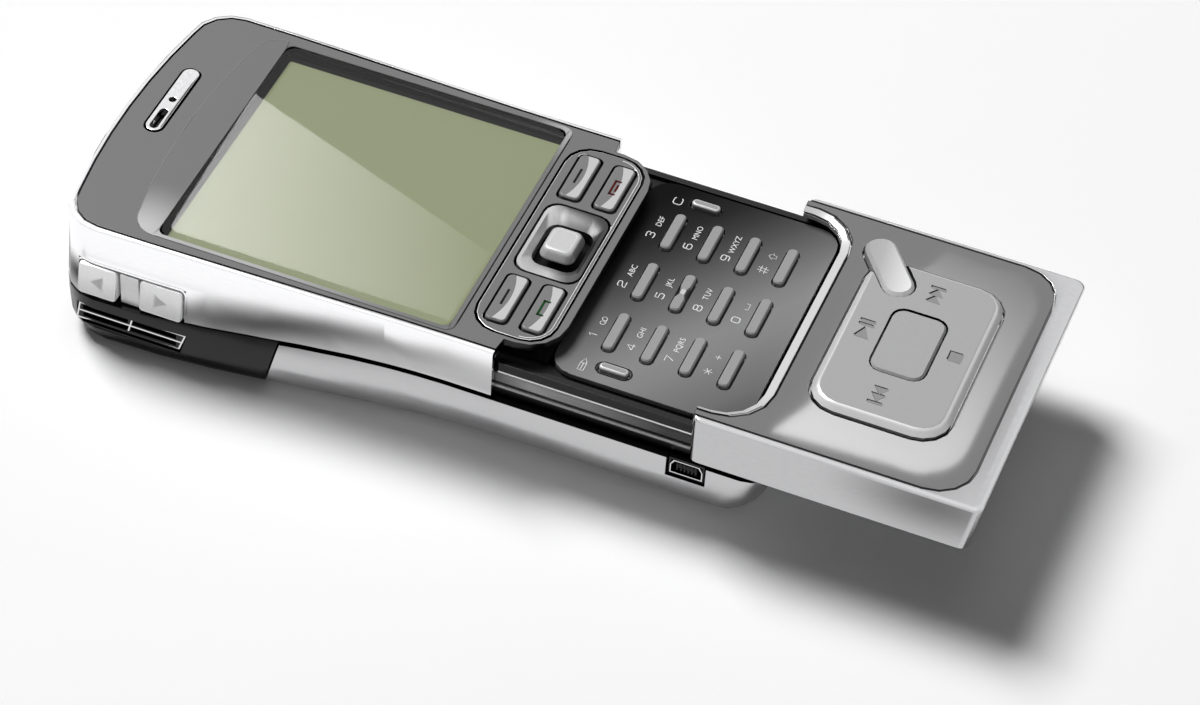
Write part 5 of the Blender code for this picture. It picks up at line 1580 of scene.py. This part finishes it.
        def arch(grow: float) -> Outline:
            """Draws the arch's outline from its low foot over to its high foot.

            Args:
                grow: How far it lies outside the inner one.

            Returns:
                The outline in y and z.
            """
            corner = self.frame_corner + grow
            height = top + grow - corner
            turn_low = arc(low_y - grow + corner, height, corner, 180, -90, 6)
            turn_high = arc(high_y + grow - corner, height, corner, 90, -90, 6)
            (start, level), (end, _) = turn_low[-1], turn_high[0]
            between = [(start + (end - start) * step / steps, level) for step in range(1, steps)]
            feet = (low_y - grow, self.frame_foot), (high_y + grow, self.frame_foot)
            return [feet[0], *turn_low, *between, *turn_high, feet[1]]

        inner, outer = arch(0.0), arch(self.frame_width)
        vertices, faces = [], []
        for (y0, z0), (y1, z1) in zip(inner, outer):
            x0, x1 = self.side_at(y0, z0) - self.frame_proud, self.side_at(y1, z1) - self.frame_proud
            vertices += [(x0, y0, z0), (x1, y1, z1), (x1 + deep, y1, z1), (x0 + deep, y0, z0)]
        last = len(vertices) - 4
        for here in range(0, last, 4):
            for side, after in ((0, 1), (1, 2), (2, 3), (3, 0)):
                faces.append((here + side, here + 4 + side, here + 4 + after, here + after))
        faces += [(0, 1, 2, 3), (last + 3, last + 2, last + 1, last)]
        piece = from_points("volume_frame", vertices, faces)
        with opened(piece):
            bpy.ops.mesh.normals_make_consistent(inside=False)
        self.add(piece, Look.CHROME, "upper_housing")


@dataclass
class Face(Assembly):
    """The front panel, the display and its window, and the earpiece.

    Attributes:
        line: The width of the dark line along the panel's edge.
        trim_edge: The round on the earpiece's trim.
        far_border: The black border on the display's right.
        near_border: The one on its left, which only just shows.
        top_border: The one at its top.
        low_border: The one at its foot.
        film_corner: The radius of the film's corners.
        bezel_half: Half the bezel's width.
        bezel_low: Where the bezel ends below the window.
        bezel_top: Its top at the middle.
        bezel_bow: How far that top bows.
        bezel_proud: How far the bezel stands proud.
        bezel_gap: How far it stays off the window.
        bezel_round: The round on its edges.
        top_corner: The radius of its top corners.
        low_corner: The radius of its lower ones.
        mouth_corner: The radius of its opening's corners.
        line_width: The width of the painted highlight line along its top.
    """

    line: float = 0.17 * MM
    trim_edge: float = 0.1 * MM
    far_border: float = 1.3 * MM
    near_border: float = 0.1 * MM
    top_border: float = 1.7 * MM
    low_border: float = 0.5 * MM
    film_corner: float = 0.3 * MM
    bezel_half: float = 23.35 * MM
    bezel_low: float = -6.6 * MM
    bezel_top: float = 46.05 * MM
    bezel_bow: float = 1.8 * MM
    bezel_proud: float = 0.1 * MM
    bezel_gap: float = 0.06 * MM
    bezel_round: float = 0.07 * MM
    top_corner: float = 4.0 * MM
    low_corner: float = 1.5 * MM
    mouth_corner: float = 1.3 * MM
    line_width: float = 0.13 * MM

    def build(self) -> None:
        """Builds the pieces."""
        dark = {"edge_look": Look.BLACK, "wall_look": Look.BLACK}
        self.bench.refined("front_panel", Look.LACQUER, self.line, **dark)
        self.bench.refined("display_window", Look.WINDOW)
        self.bench.dress("display_module", Look.MASK_INK)
        self.bench.refined("earpiece_trim", Look.CHROME, self.trim_edge)
        self.film()
        self.bezel()

    def film(self) -> None:
        """Adds the display's reflective film on the black module."""
        low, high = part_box("display_module")
        sunk, proud = 0.1 * MM, 0.08 * MM
        foot = (low.x + self.near_border, low.y + self.low_border, high.z - sunk)
        head = (high.x - self.far_border, high.y - self.top_border, high.z + proud)
        film = self.bench.round_slab("display_film", foot, head, self.film_corner)
        self.add(film, Look.FILM, "display_module")

    def bezel(self) -> None:
        """Adds the thin raised bezel round the window, with its painted highlights, and a painted highlight
        line along its top.
        """
        low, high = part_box("display_window")
        sunk, line_height, steps, flatten = 0.05 * MM, 0.09 * MM, 14, 0.97
        corner, foot, gap = self.top_corner, self.low_corner, self.bezel_gap
        reach, low_reach = self.bezel_half - corner, self.bezel_half - foot
        shoulder = self.bezel_top - self.bezel_bow - corner
        outer = arc(reach, shoulder, corner, 0, 84)
        for step in range(1, steps):
            x = reach * (1 - 2 * step / steps)
            outer.append((x, self.bezel_top - self.bezel_bow * (x / reach) ** 2 * flatten))
        outer += arc(-reach, shoulder, corner, 96, 84)
        lined = outer[:-4]
        outer += arc(-low_reach, self.bezel_low + foot, foot, 180, 90)
        outer += arc(low_reach, self.bezel_low + foot, foot, 270, 90)
        inner = round_box(low.x - gap, low.y - gap, high.x + gap, high.y + gap, self.mouth_corner)
        base = high.z - sunk
        ring = self.bench.flat_shape("window_bezel", [outer, inner], base, self.bezel_proud + sunk)
        top = base + self.bezel_proud + sunk
        self.bench.bevel_top(ring, top, self.bezel_round, 2)
        self.add(ring, Look.BEZEL, "front_panel")
        line = self.bench.stroke("bezel_line", [lined], self.line_width, top - sunk, line_height)
        self.add(line, Look.GREY_INK, "front_panel")


@dataclass
class Navigation(Assembly):
    """The navigation block: its plate, four keys and the joystick.

    Attributes:
        mark_width: The width of the lines printed on the keys.
        mark_reach: Half the length of a mark.
        mark_leg: How far a mark's legs reach.
        mark_shift: Where a mark lies from its key's middle.
        ink: How thick the print is.
        sunk: How far thin pieces reach into what carries them.
        plate_edge: The width of the plate's rounded edge, which carries a painted highlight.
        plate_corner: The radius of the plate's corners.
        plate_rim: How wide the zone along that edge is in which the painted highlight stays.
        fold_inset: How far inside the edge the fine painted highlight line runs.
        fold_width: That line's width.
        line_height: The height of fine lines, with what is sunk.
        cap_edge: The round on the joystick's cap.
        key_base: The height of the keys' foot.
        key_inset: How far a key's top is drawn in from its flange.
        key_corner: The radius of a key's corners.
        key_edge: The round on its top edge.
        field_margin: How far the painted highlight stays off the key's edge.
        field_corner: The radius of the highlight's corners.
        field_middle: How far the highlight reaches in the middle of a key.
        field_ends: How far it reaches at the key's ends.
    """

    mark_width: float = 0.36 * MM
    mark_reach: float = 1.45 * MM
    mark_leg: float = 0.75 * MM
    mark_shift: float = 0.35 * MM
    ink: float = 0.03 * MM
    sunk: float = 0.05 * MM
    plate_edge: float = 0.2 * MM
    plate_corner: float = 4.2 * MM
    plate_rim: float = 0.8 * MM
    fold_inset: float = 0.45 * MM
    fold_width: float = 0.12 * MM
    line_height: float = 0.09 * MM
    cap_edge: float = 0.25 * MM
    key_base: float = 20.3 * MM
    key_inset: float = 0.4 * MM
    key_corner: float = 0.9 * MM
    key_edge: float = 0.35 * MM
    field_margin: float = 0.3 * MM
    field_corner: float = 0.6 * MM
    field_middle: float = 1.15 * MM
    field_ends: float = 2.1 * MM

    def build(self) -> None:
        """Builds the pieces."""
        self.plate()
        for node in ("soft_key_left", "soft_key_right", "call_key", "end_key"):
            self.key(node)
        # The dish's finish carries painted light and shade.
        self.bench.refined("joystick_surround", Look.DISH)
        self.cap_line(self.bench.refined("joystick_cap", Look.SILVER_KEY, self.cap_edge, 3))

    def plate(self) -> None:
        """Builds the plate, with a painted highlight along its outer edge and black round the openings."""
        looks = {"edge_look": Look.CUT_EDGE, "wall_look": Look.BLACK}
        plate = self.bench.refined("nav_plate", Look.LACQUER, self.plate_edge, **looks)
        low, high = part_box("nav_plate")
        middle, half = (low + high) / 2, (high - low) / 2
        reach = (half.x - self.plate_corner, half.y - self.plate_corner)
        for side in plate.data.polygons:
            off = (abs(side.center.x - middle.x) - reach[0], abs(side.center.y - middle.y) - reach[1])
            out = math.hypot(max(off[0], 0.0), max(off[1], 0.0))
            if side.material_index == 1 and out < self.plate_corner - self.plate_rim:
                side.material_index = 2
        corner = self.plate_corner - self.fold_inset
        front = low.y + self.plate_corner
        highlight_path = arc(low.x + self.plate_corner, front, corner, 180, 90)
        highlight_path += arc(high.x - self.plate_corner, front, corner, 270, 90)
        base = high.z - self.sunk
        line = self.bench.stroke("nav_plate_fold", [highlight_path], self.fold_width, base, self.line_height)
        self.add(line, Look.CUT_EDGE, "nav_plate")

    def cap_line(self, cap: Piece) -> None:
        """Adds the fine line on the joystick's top.

        Args:
            cap: The joystick's cap.
        """
        level, inset, corner = 0.02 * MM, 0.15 * MM, 0.8 * MM
        width, base, thickness = 0.1 * MM, -0.03 * MM, 0.05 * MM
        top = max(vertex.co.z for vertex in cap.data.vertices)
        flat = [vertex.co for vertex in cap.data.vertices if vertex.co.z > top - level]
        xs, ys = [spot.x for spot in flat], [spot.y for spot in flat]
        loop = round_box(min(xs) + inset, min(ys) + inset, max(xs) - inset, max(ys) - inset, corner)
        line = self.bench.stroke("joystick_line", [[*loop, loop[0]]], width, top + base, thickness)
        self.add(line, Look.WHITE_INK, "joystick_cap")

    def key(self, node: str) -> None:
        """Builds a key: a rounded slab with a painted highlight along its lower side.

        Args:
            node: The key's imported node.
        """
        low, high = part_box(node)
        inset, margin, corner = self.key_inset, self.field_margin, self.field_corner
        left, right, front = low.x + inset, high.x - inset, low.y + inset
        foot, head = (left, front, self.key_base), (right, high.y - inset, high.z)
        piece = self.bench.round_slab(f"{node}_shape", foot, head, self.key_corner, self.key_edge)
        self.bench.hand_over(piece, Look.NAV_KEY, node)
        loop, steps = [], 12
        for step in range(steps + 1):
            share = 2 * step / steps - 1
            x = (left + right) / 2 + share * ((right - left) / 2 - margin)
            loop.append((x, front + self.field_middle + (self.field_ends - self.field_middle) * share**2))
        loop += arc(right - margin - corner, front + margin + corner, corner, 0, -90)
        loop += arc(left + margin + corner, front + margin + corner, corner, -90, -90)
        sunk, thickness = 0.04 * MM, 0.07 * MM
        # Painted highlight: a pale flat piece along the key's lower side.
        bright = self.bench.flat_shape(f"{node}_field", [loop], high.z - sunk, thickness)
        self.add(bright, Look.NAV_SLOPE, node)
        self.mark(node, (low + high) / 2, high.z)

    def mark(self, node: str, middle: Vector, top: float) -> None:
        """Prints a key's mark.

        Args:
            node: The key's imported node.
            middle: The middle of its top.
            top: The height of its top.
        """
        x, y, reach = middle.x, middle.y + self.mark_shift, self.mark_reach
        half, drop, sunk = 0.6 * MM, 0.65 * MM, 0.02 * MM
        dash = [(x - reach, y), (x + reach, y)]
        bracket = [(x - reach, y - self.mark_leg), *dash, (x + reach, y - self.mark_leg)]
        short = [(x - half, y - drop), (x + half, y - drop)]
        paths, look = {
            "call_key": ([bracket], Look.GREEN_INK),
            "end_key": ([bracket, short], Look.RED_INK),
        }.get(node, ([dash], Look.BLACK_INK))
        piece = self.bench.strip(f"{node}_mark", paths, self.mark_width, top - sunk, top + self.ink)
        self.add(piece, look, node)


@dataclass
class Keypad(Assembly):
    """The keypad plate, its keys and its print.

    Attributes:
        plate_edge: The cut on the plate's edge.
        side_key_edge: The round on the edit and clear keys.
        digit_size: The width and height of a digit.
        letter_height: The type size of the small letters.
        icon_size: The width and height of an icon.
        pencil_size: Those of the pencil by the edit key.
        clear_size: Those of the letter by the clear key.
        line: The width of the digits' lines.
        fine_line: The width of the icons' lines.
        digit_shift: Where a digit's middle lies from its key's.
        word_shift: Where the small letters' middle lies from it.
        pencil_shift: Where the pencil lies from its key's left far corner.
        clear_shift: The same for the letter by the clear key.
        waist_half: Half the length of the middle key's waist.
        waist_cuts: Where that key is cut across for its waist, from its middle.
        ring_width: The width of the ring round a side key.
        ledge_inner: How far from the middle the ledges beside the keypad begin.
        ledge_outer: How far out they reach.
        ledge_base: The height of their foot.
        ledge_top: The height of their top.
        ledge_ends: Where they begin and end along the phone.
    """

    plate_edge: float = 0.15 * MM
    side_key_edge: float = 0.3 * MM
    digit_size: tuple[float, float] = (1.1 * MM, 1.2 * MM)
    letter_height: float = 1.25 * MM
    icon_size: tuple[float, float] = (1.5 * MM, 1.25 * MM)
    pencil_size: tuple[float, float] = (2.4 * MM, 1.5 * MM)
    clear_size: tuple[float, float] = (1.4 * MM, 1.3 * MM)
    line: float = 0.17 * MM
    fine_line: float = 0.12 * MM
    digit_shift: tuple[float, float] = (-1.6 * MM, 2.95 * MM)
    word_shift: tuple[float, float] = (1.6 * MM, 2.55 * MM)
    pencil_shift: tuple[float, float] = (0.6 * MM, 1.9 * MM)
    clear_shift: tuple[float, float] = (0.7 * MM, 1.7 * MM)
    waist_half: float = 0.6 * MM
    waist_cuts: tuple[float, ...] = (-1.3 * MM, -0.5 * MM, 0.5 * MM, 1.3 * MM)
    ring_width: float = 0.2 * MM
    ledge_inner: float = 22.32 * MM
    ledge_outer: float = 23.4 * MM
    ledge_base: float = 16.9 * MM
    ledge_top: float = 18.6 * MM
    ledge_ends: tuple[float, float] = (-50.0 * MM, -13.9 * MM)

    def build(self) -> None:
        """Builds the pieces."""
        refined = self.bench.refined
        # Painted shade fades across the plate, and its edge carries a painted highlight.
        refined("keypad_plate", Look.KEYPLATE, self.plate_edge, 1, edge_look=Look.CUT_EDGE)
        for node in (node for node in frame["nodes"] if node.startswith("key_")):
            key = refined(node, Look.KEY)
            if node == "key_5":
                self.waist(key)
        for node in ("edit_key", "clear_key"):
            # Their rounded edges get the pale finish as a painted highlight.
            refined(node, Look.KEY, self.side_key_edge, 3, edge_look=Look.SILVER_KEY)
            self.ring(node)
        self.ledges()
        self.digits()
        self.words()

    def waist(self, key: Piece) -> None:
        """Cuts the middle key's narrow waist, by which a thumb finds it, and gives its top a painted
        highlight.

        Args:
            key: The key.
        """
        low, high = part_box("key_5")
        middle = (low + high) / 2
        deep, narrow, across = 0.7 * MM, (1.0, 0.55, 1.0), (1.0, 0.0, 0.0)
        with opened(key):
            for place in self.waist_cuts:
                bpy.ops.mesh.select_all(action="SELECT")
                bpy.ops.mesh.bisect(plane_co=(middle.x + place, middle.y, middle.z), plane_no=across)
            bpy.ops.mesh.select_mode(type="VERT")
            bpy.ops.mesh.select_all(action="DESELECT")
        for vertex in key.data.vertices:
            near = abs(vertex.co.x - middle.x) < self.waist_half
            vertex.select = near and vertex.co.z > high.z - deep
        bpy.ops.object.mode_set(mode="EDIT")
        bpy.ops.transform.resize(value=narrow, center_override=middle)
        bpy.ops.object.mode_set(mode="OBJECT")
        # Painted highlight: the waist's upward faces wear the pale finish.
        faces_up = 0.3
        for side in key.data.polygons:
            if abs(side.center.x - middle.x) < self.waist_cuts[2] and side.normal.z > faces_up:
                side.material_index = 1
        key.data.materials[1] = Look.SILVER_KEY.finish()

    def ring(self, node: str) -> None:
        """Adds the dark ring round a side key.

        Args:
            node: The key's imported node.
        """
        low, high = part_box(node)
        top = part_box("keypad_plate")[1].z
        lap, corner, sunk, thickness = 0.05 * MM, 1.1 * MM, 0.02 * MM, 0.05 * MM
        loops = [
            round_box(low.x - grow, low.y - grow, high.x + grow, high.y + grow, corner + grow)
            for grow in (self.ring_width, -lap)
        ]
        ring = self.bench.flat_shape(f"{node}_ring", loops, top - sunk, thickness)
        self.add(ring, Look.BLACK_INK, "keypad_plate")

    def ledges(self) -> None:
        """Adds the ledges beside the keypad, each with a painted highlight line along its foot."""
        (start, end), base = self.ledge_ends, self.ledge_base
        edge, line_edge, half, faces_out = 0.1 * MM, 0.05 * MM, 0.14 * MM, 0.5
        line_inner, line_outer = self.ledge_outer - 0.2 * MM, self.ledge_outer + 0.08 * MM
        for name, side in (("left", -1), ("right", 1)):
            x0, x1 = sorted((side * self.ledge_inner, side * self.ledge_outer))
            ledge = self.bench.cube(f"keypad_ledge_{name}", (x0, start, base), (x1, end, self.ledge_top))
            for look in (Look.BLACK, Look.LEDGE):
                ledge.data.materials.append(look.finish())
            for face in ledge.data.polygons:
                face.material_index = 1 if face.normal.x * side > faces_out else 0
            self.bench.round_edges(ledge, edge, 2, 0)
            self.add(ledge, Look.BLACK, "chassis")
            x0, x1 = sorted((side * line_inner, side * line_outer))
            foot, head = (x0, start, base - half), (x1, end, base + half)
            self.add(self.bench.bar(f"ledge_line_{name}", foot, head, line_edge), Look.CUT_EDGE, "chassis")

    def beside(self, node: str, shift: tuple[float, float]) -> tuple[float, float]:
        """A spot of the plate at a shift from a key's middle."""
        low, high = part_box(node)
        return (low.x + high.x) / 2 + shift[0], (low.y + high.y) / 2 + shift[1]

    def digits(self) -> None:
        """Prints the digits and icons beside the keys."""
        sunk, thickness = 0.02 * MM, 0.06 * MM
        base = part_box("keypad_plate")[1].z - sunk
        bold, fine = [], []
        for node, glyph in DIGIT_OF_KEY.items():
            grow = SIGN_GROWTH.get(glyph, 1.0)
            size = (grow * self.digit_size[0], grow * self.digit_size[1])
            lines = fine if glyph in SIGN_GROWTH else bold
            lines += placed(glyph, self.beside(node, self.digit_shift), size)
        for node, glyph in ICON_OF_KEY.items():
            fine += placed(glyph, self.beside(node, self.word_shift), self.icon_size)
        for node, glyph, lines, shift, size in (
            ("edit_key", "pencil", fine, self.pencil_shift, self.pencil_size),
            ("clear_key", "C", bold, self.clear_shift, self.clear_size),
        ):
            low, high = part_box(node)
            lines += placed(glyph, (low.x + shift[0], high.y + shift[1]), size)
        for name, paths, width in (("digits", bold, self.line), ("icons", fine, self.fine_line)):
            piece = self.bench.stroke(f"keypad_{name}", paths, width, base, thickness)
            self.add(piece, Look.WHITE_INK, "keypad_plate")

    def words(self) -> None:
        """Prints the small letters beside the keys."""
        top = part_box("keypad_plate")[1].z
        pieces = [
            self.bench.word(word, (*self.beside(node, self.word_shift), top), self.letter_height)
            for node, word in WORD_OF_KEY.items()
        ]
        self.add(joined(pieces, "keypad_letters"), Look.WHITE_INK, "keypad_plate")


@dataclass
class Slide(Assembly):
    """The chassis with its rails, and the cover's runners.

    Attributes:
        chassis_edge: The cut on the chassis' edges.
        rail_edge: The round on the rails and runners.
    """

    chassis_edge: float = 0.12 * MM
    rail_edge: float = 0.1 * MM

    def build(self) -> None:
        """Builds the pieces."""
        self.bench.refined("chassis", Look.NYLON, self.chassis_edge, 1)
        # The rails' and runners' finishes carry painted shade and highlights.
        for side in ("left", "right"):
            self.bench.refined(f"slide_rail_{side}", Look.RAIL, self.rail_edge)
            self.bench.refined(f"cover_runner_{side}", Look.RUNNER, self.rail_edge)


@dataclass
class Cover(Assembly):
    """The sliding cover: its housing, panel, lip and music keys.

    Attributes:
        housing_edge: The round on the housing's edges.
        fine_edge: The round on the panel and on the pad's inner edges.
        lip_edge: The width of the round along the lip's inner edge, which carries a painted highlight.
        lip_centre: How far past the lip's ends the middle of its mouth lies.
        mouth: How far inside the lip's outer edge its inner edge lies, at least.
        rim: The width of the music pad's rounded rim, which carries a painted highlight.
        key_reach: How far round the keys in the pad its edge counts as inner.
        shadow: How far an icon's painted shadow shows beside its floor.
        ink: How thick the engraving's fill is.
    """

    housing_edge: float = 0.2 * MM
    fine_edge: float = 0.1 * MM
    lip_edge: float = 0.3 * MM
    lip_centre: float = 8.0 * MM
    mouth: float = 0.75 * MM
    rim: float = 0.45 * MM
    key_reach: float = 0.9 * MM
    shadow: float = 0.2 * MM
    ink: float = 0.03 * MM

    def build(self) -> None:
        """Builds the pieces."""
        refined = self.bench.refined
        # The cover's nickel is a darker copy of the housing's: painted shade.
        refined("cover_housing", Look.DEEP_NICKEL, self.housing_edge, 3)
        refined("cover_panel", Look.GLOSS_LACQUER, self.fine_edge, edge_look=Look.BLACK)
        self.lip()
        self.pad()
        refined("music_centre_key", Look.MUSIC, wall_look=Look.BLACK)
        # The oval key's finish carries a painted highlight.
        refined("music_oval_key", Look.OVAL)
        self.icons()

    def pad(self) -> None:
        """Builds the music pad: a broad rounded rim outside with a painted highlight, a fine one and black
        walls inside.
        """
        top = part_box("music_pad")[1].z
        inside = [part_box("music_centre_key"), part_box("music_oval_key")]
        reach = self.key_reach

        def is_inner(spot: Vector) -> bool:
            """Tells whether a spot lies by one of the two keys in the pad.

            Args:
                spot: The spot.

            Returns:
                Whether it does.
            """
            return any(
                low.x - reach < spot.x < high.x + reach and low.y - reach < spot.y < high.y + reach
                for low, high in inside
            )

        def is_rim(mesh: Mesh, edge: Edge) -> bool:
            """Whether an edge lies on the pad's outer rim."""
            return is_level_at(mesh, edge, top) and not is_inner(middle_of(mesh, edge))

        looks = {"edge_look": Look.RIM, "wall_look": Look.CHROME}
        wide = {"wide": is_rim, "wide_edge": self.rim}
        pad = self.bench.refined("music_pad", Look.MUSIC, self.fine_edge, **looks, **wide)
        pad.data.materials.append(Look.BLACK.finish())
        for side in pad.data.polygons:
            if side.material_index == 2 and is_inner(side.center):
                side.material_index = 3

    def lip(self) -> None:
        """Builds the lip round the cover's mouth: a flat in painted dark reflection with a painted highlight
        on its inner edge.
        """
        low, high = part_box("cover_lip")
        middle = Vector(((low.x + high.x) / 2, high.y + self.lip_centre))
        end = high.y - 0.1 * MM

        def is_inner(mesh: Mesh, edge: Edge) -> bool:
            """Tells whether an edge runs along the mouth, at the lip's top.

            Args:
                mesh: The lip's mesh.
                edge: The edge.

            Returns:
                Whether it does.
            """
            spot = middle_of(mesh, edge)
            inset = min(spot.x - low.x, high.x - spot.x, spot.y - low.y)
            return is_level_at(mesh, edge, high.z) and inset > self.mouth and spot.y < end

        looks = {"edge_look": Look.SILVER_KEY, "wall_look": Look.CHROME}
        lip = self.bench.refined("cover_lip", Look.LIP, **looks, wide=is_inner, wide_edge=self.lip_edge)
        for side in lip.data.polygons:
            inwards = (middle - side.center.xy).dot(side.normal.xy)
            if side.material_index == 2 and inwards < 0.0:
                side.material_index = 0

    def icons(self) -> None:
        """Adds the icons on the music pad, drawn as engraved: a painted shadow under a grey shape."""
        top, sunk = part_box("music_pad")[1].z, 0.05 * MM
        parts = (("shade", 1, 0.02 * MM, Look.BLACK_INK), ("floor", -1, self.ink, Look.GREY_INK))
        for name, ((x, y), loops) in MUSIC_ICONS.items():
            for part, way, proud, look in parts:
                offset = way * self.shadow / 2
                moved = [
                    [((x + a) * MM + offset, (y + b) * MM + offset) for a, b in loop] for loop in loops
                ]
                piece = self.bench.flat_shape(f"icon_{name}_{part}", moved, top - sunk, sunk + proud)
                self.add(piece, look, "music_pad")


@dataclass
class Inside(Assembly):
    """What lies inside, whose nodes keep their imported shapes.

    Attributes:
        finishes: Each node's finish.
    """

    finishes: dict[str, Look] = field(
        default_factory=lambda: {
            "main_board": Look.BOARD,
            "nav_board": Look.DARK_BOARD,
            "keypad_board": Look.DARK_BOARD,
            "battery": Look.BATTERY,
            "disk_drive": Look.TIN,
            "loudspeaker": Look.BLACK,
            "earpiece_speaker": Look.BLACK,
            "joystick_pivot": Look.STEEL,
            "joystick_plunger": Look.STEEL,
            "screw_left": Look.STEEL,
            "screw_right": Look.STEEL,
        }
    )

    def build(self) -> None:
        """Dresses the nodes."""
        for node, look in self.finishes.items():
            self.bench.dress(node, look)


def main() -> None:
    """Builds the phone and the studio."""
    logging.basicConfig(level=logging.INFO, format="%(name)s: %(message)s")
    bpy.context.scene.view_settings.view_transform = "Standard"
    studio = Studio()
    studio.build()
    bench = Bench()
    for kind in (Shells, Face, Navigation, Keypad, Slide, Cover, Inside):
        LOG.info("building %s", kind.__name__)
        kind(bench).build()
    for name in ("cover_panel_shape", "display_window_shape"):
        studio.lacquered.objects.link(bpy.data.objects[name])


if __name__ == "__main__":
    main()
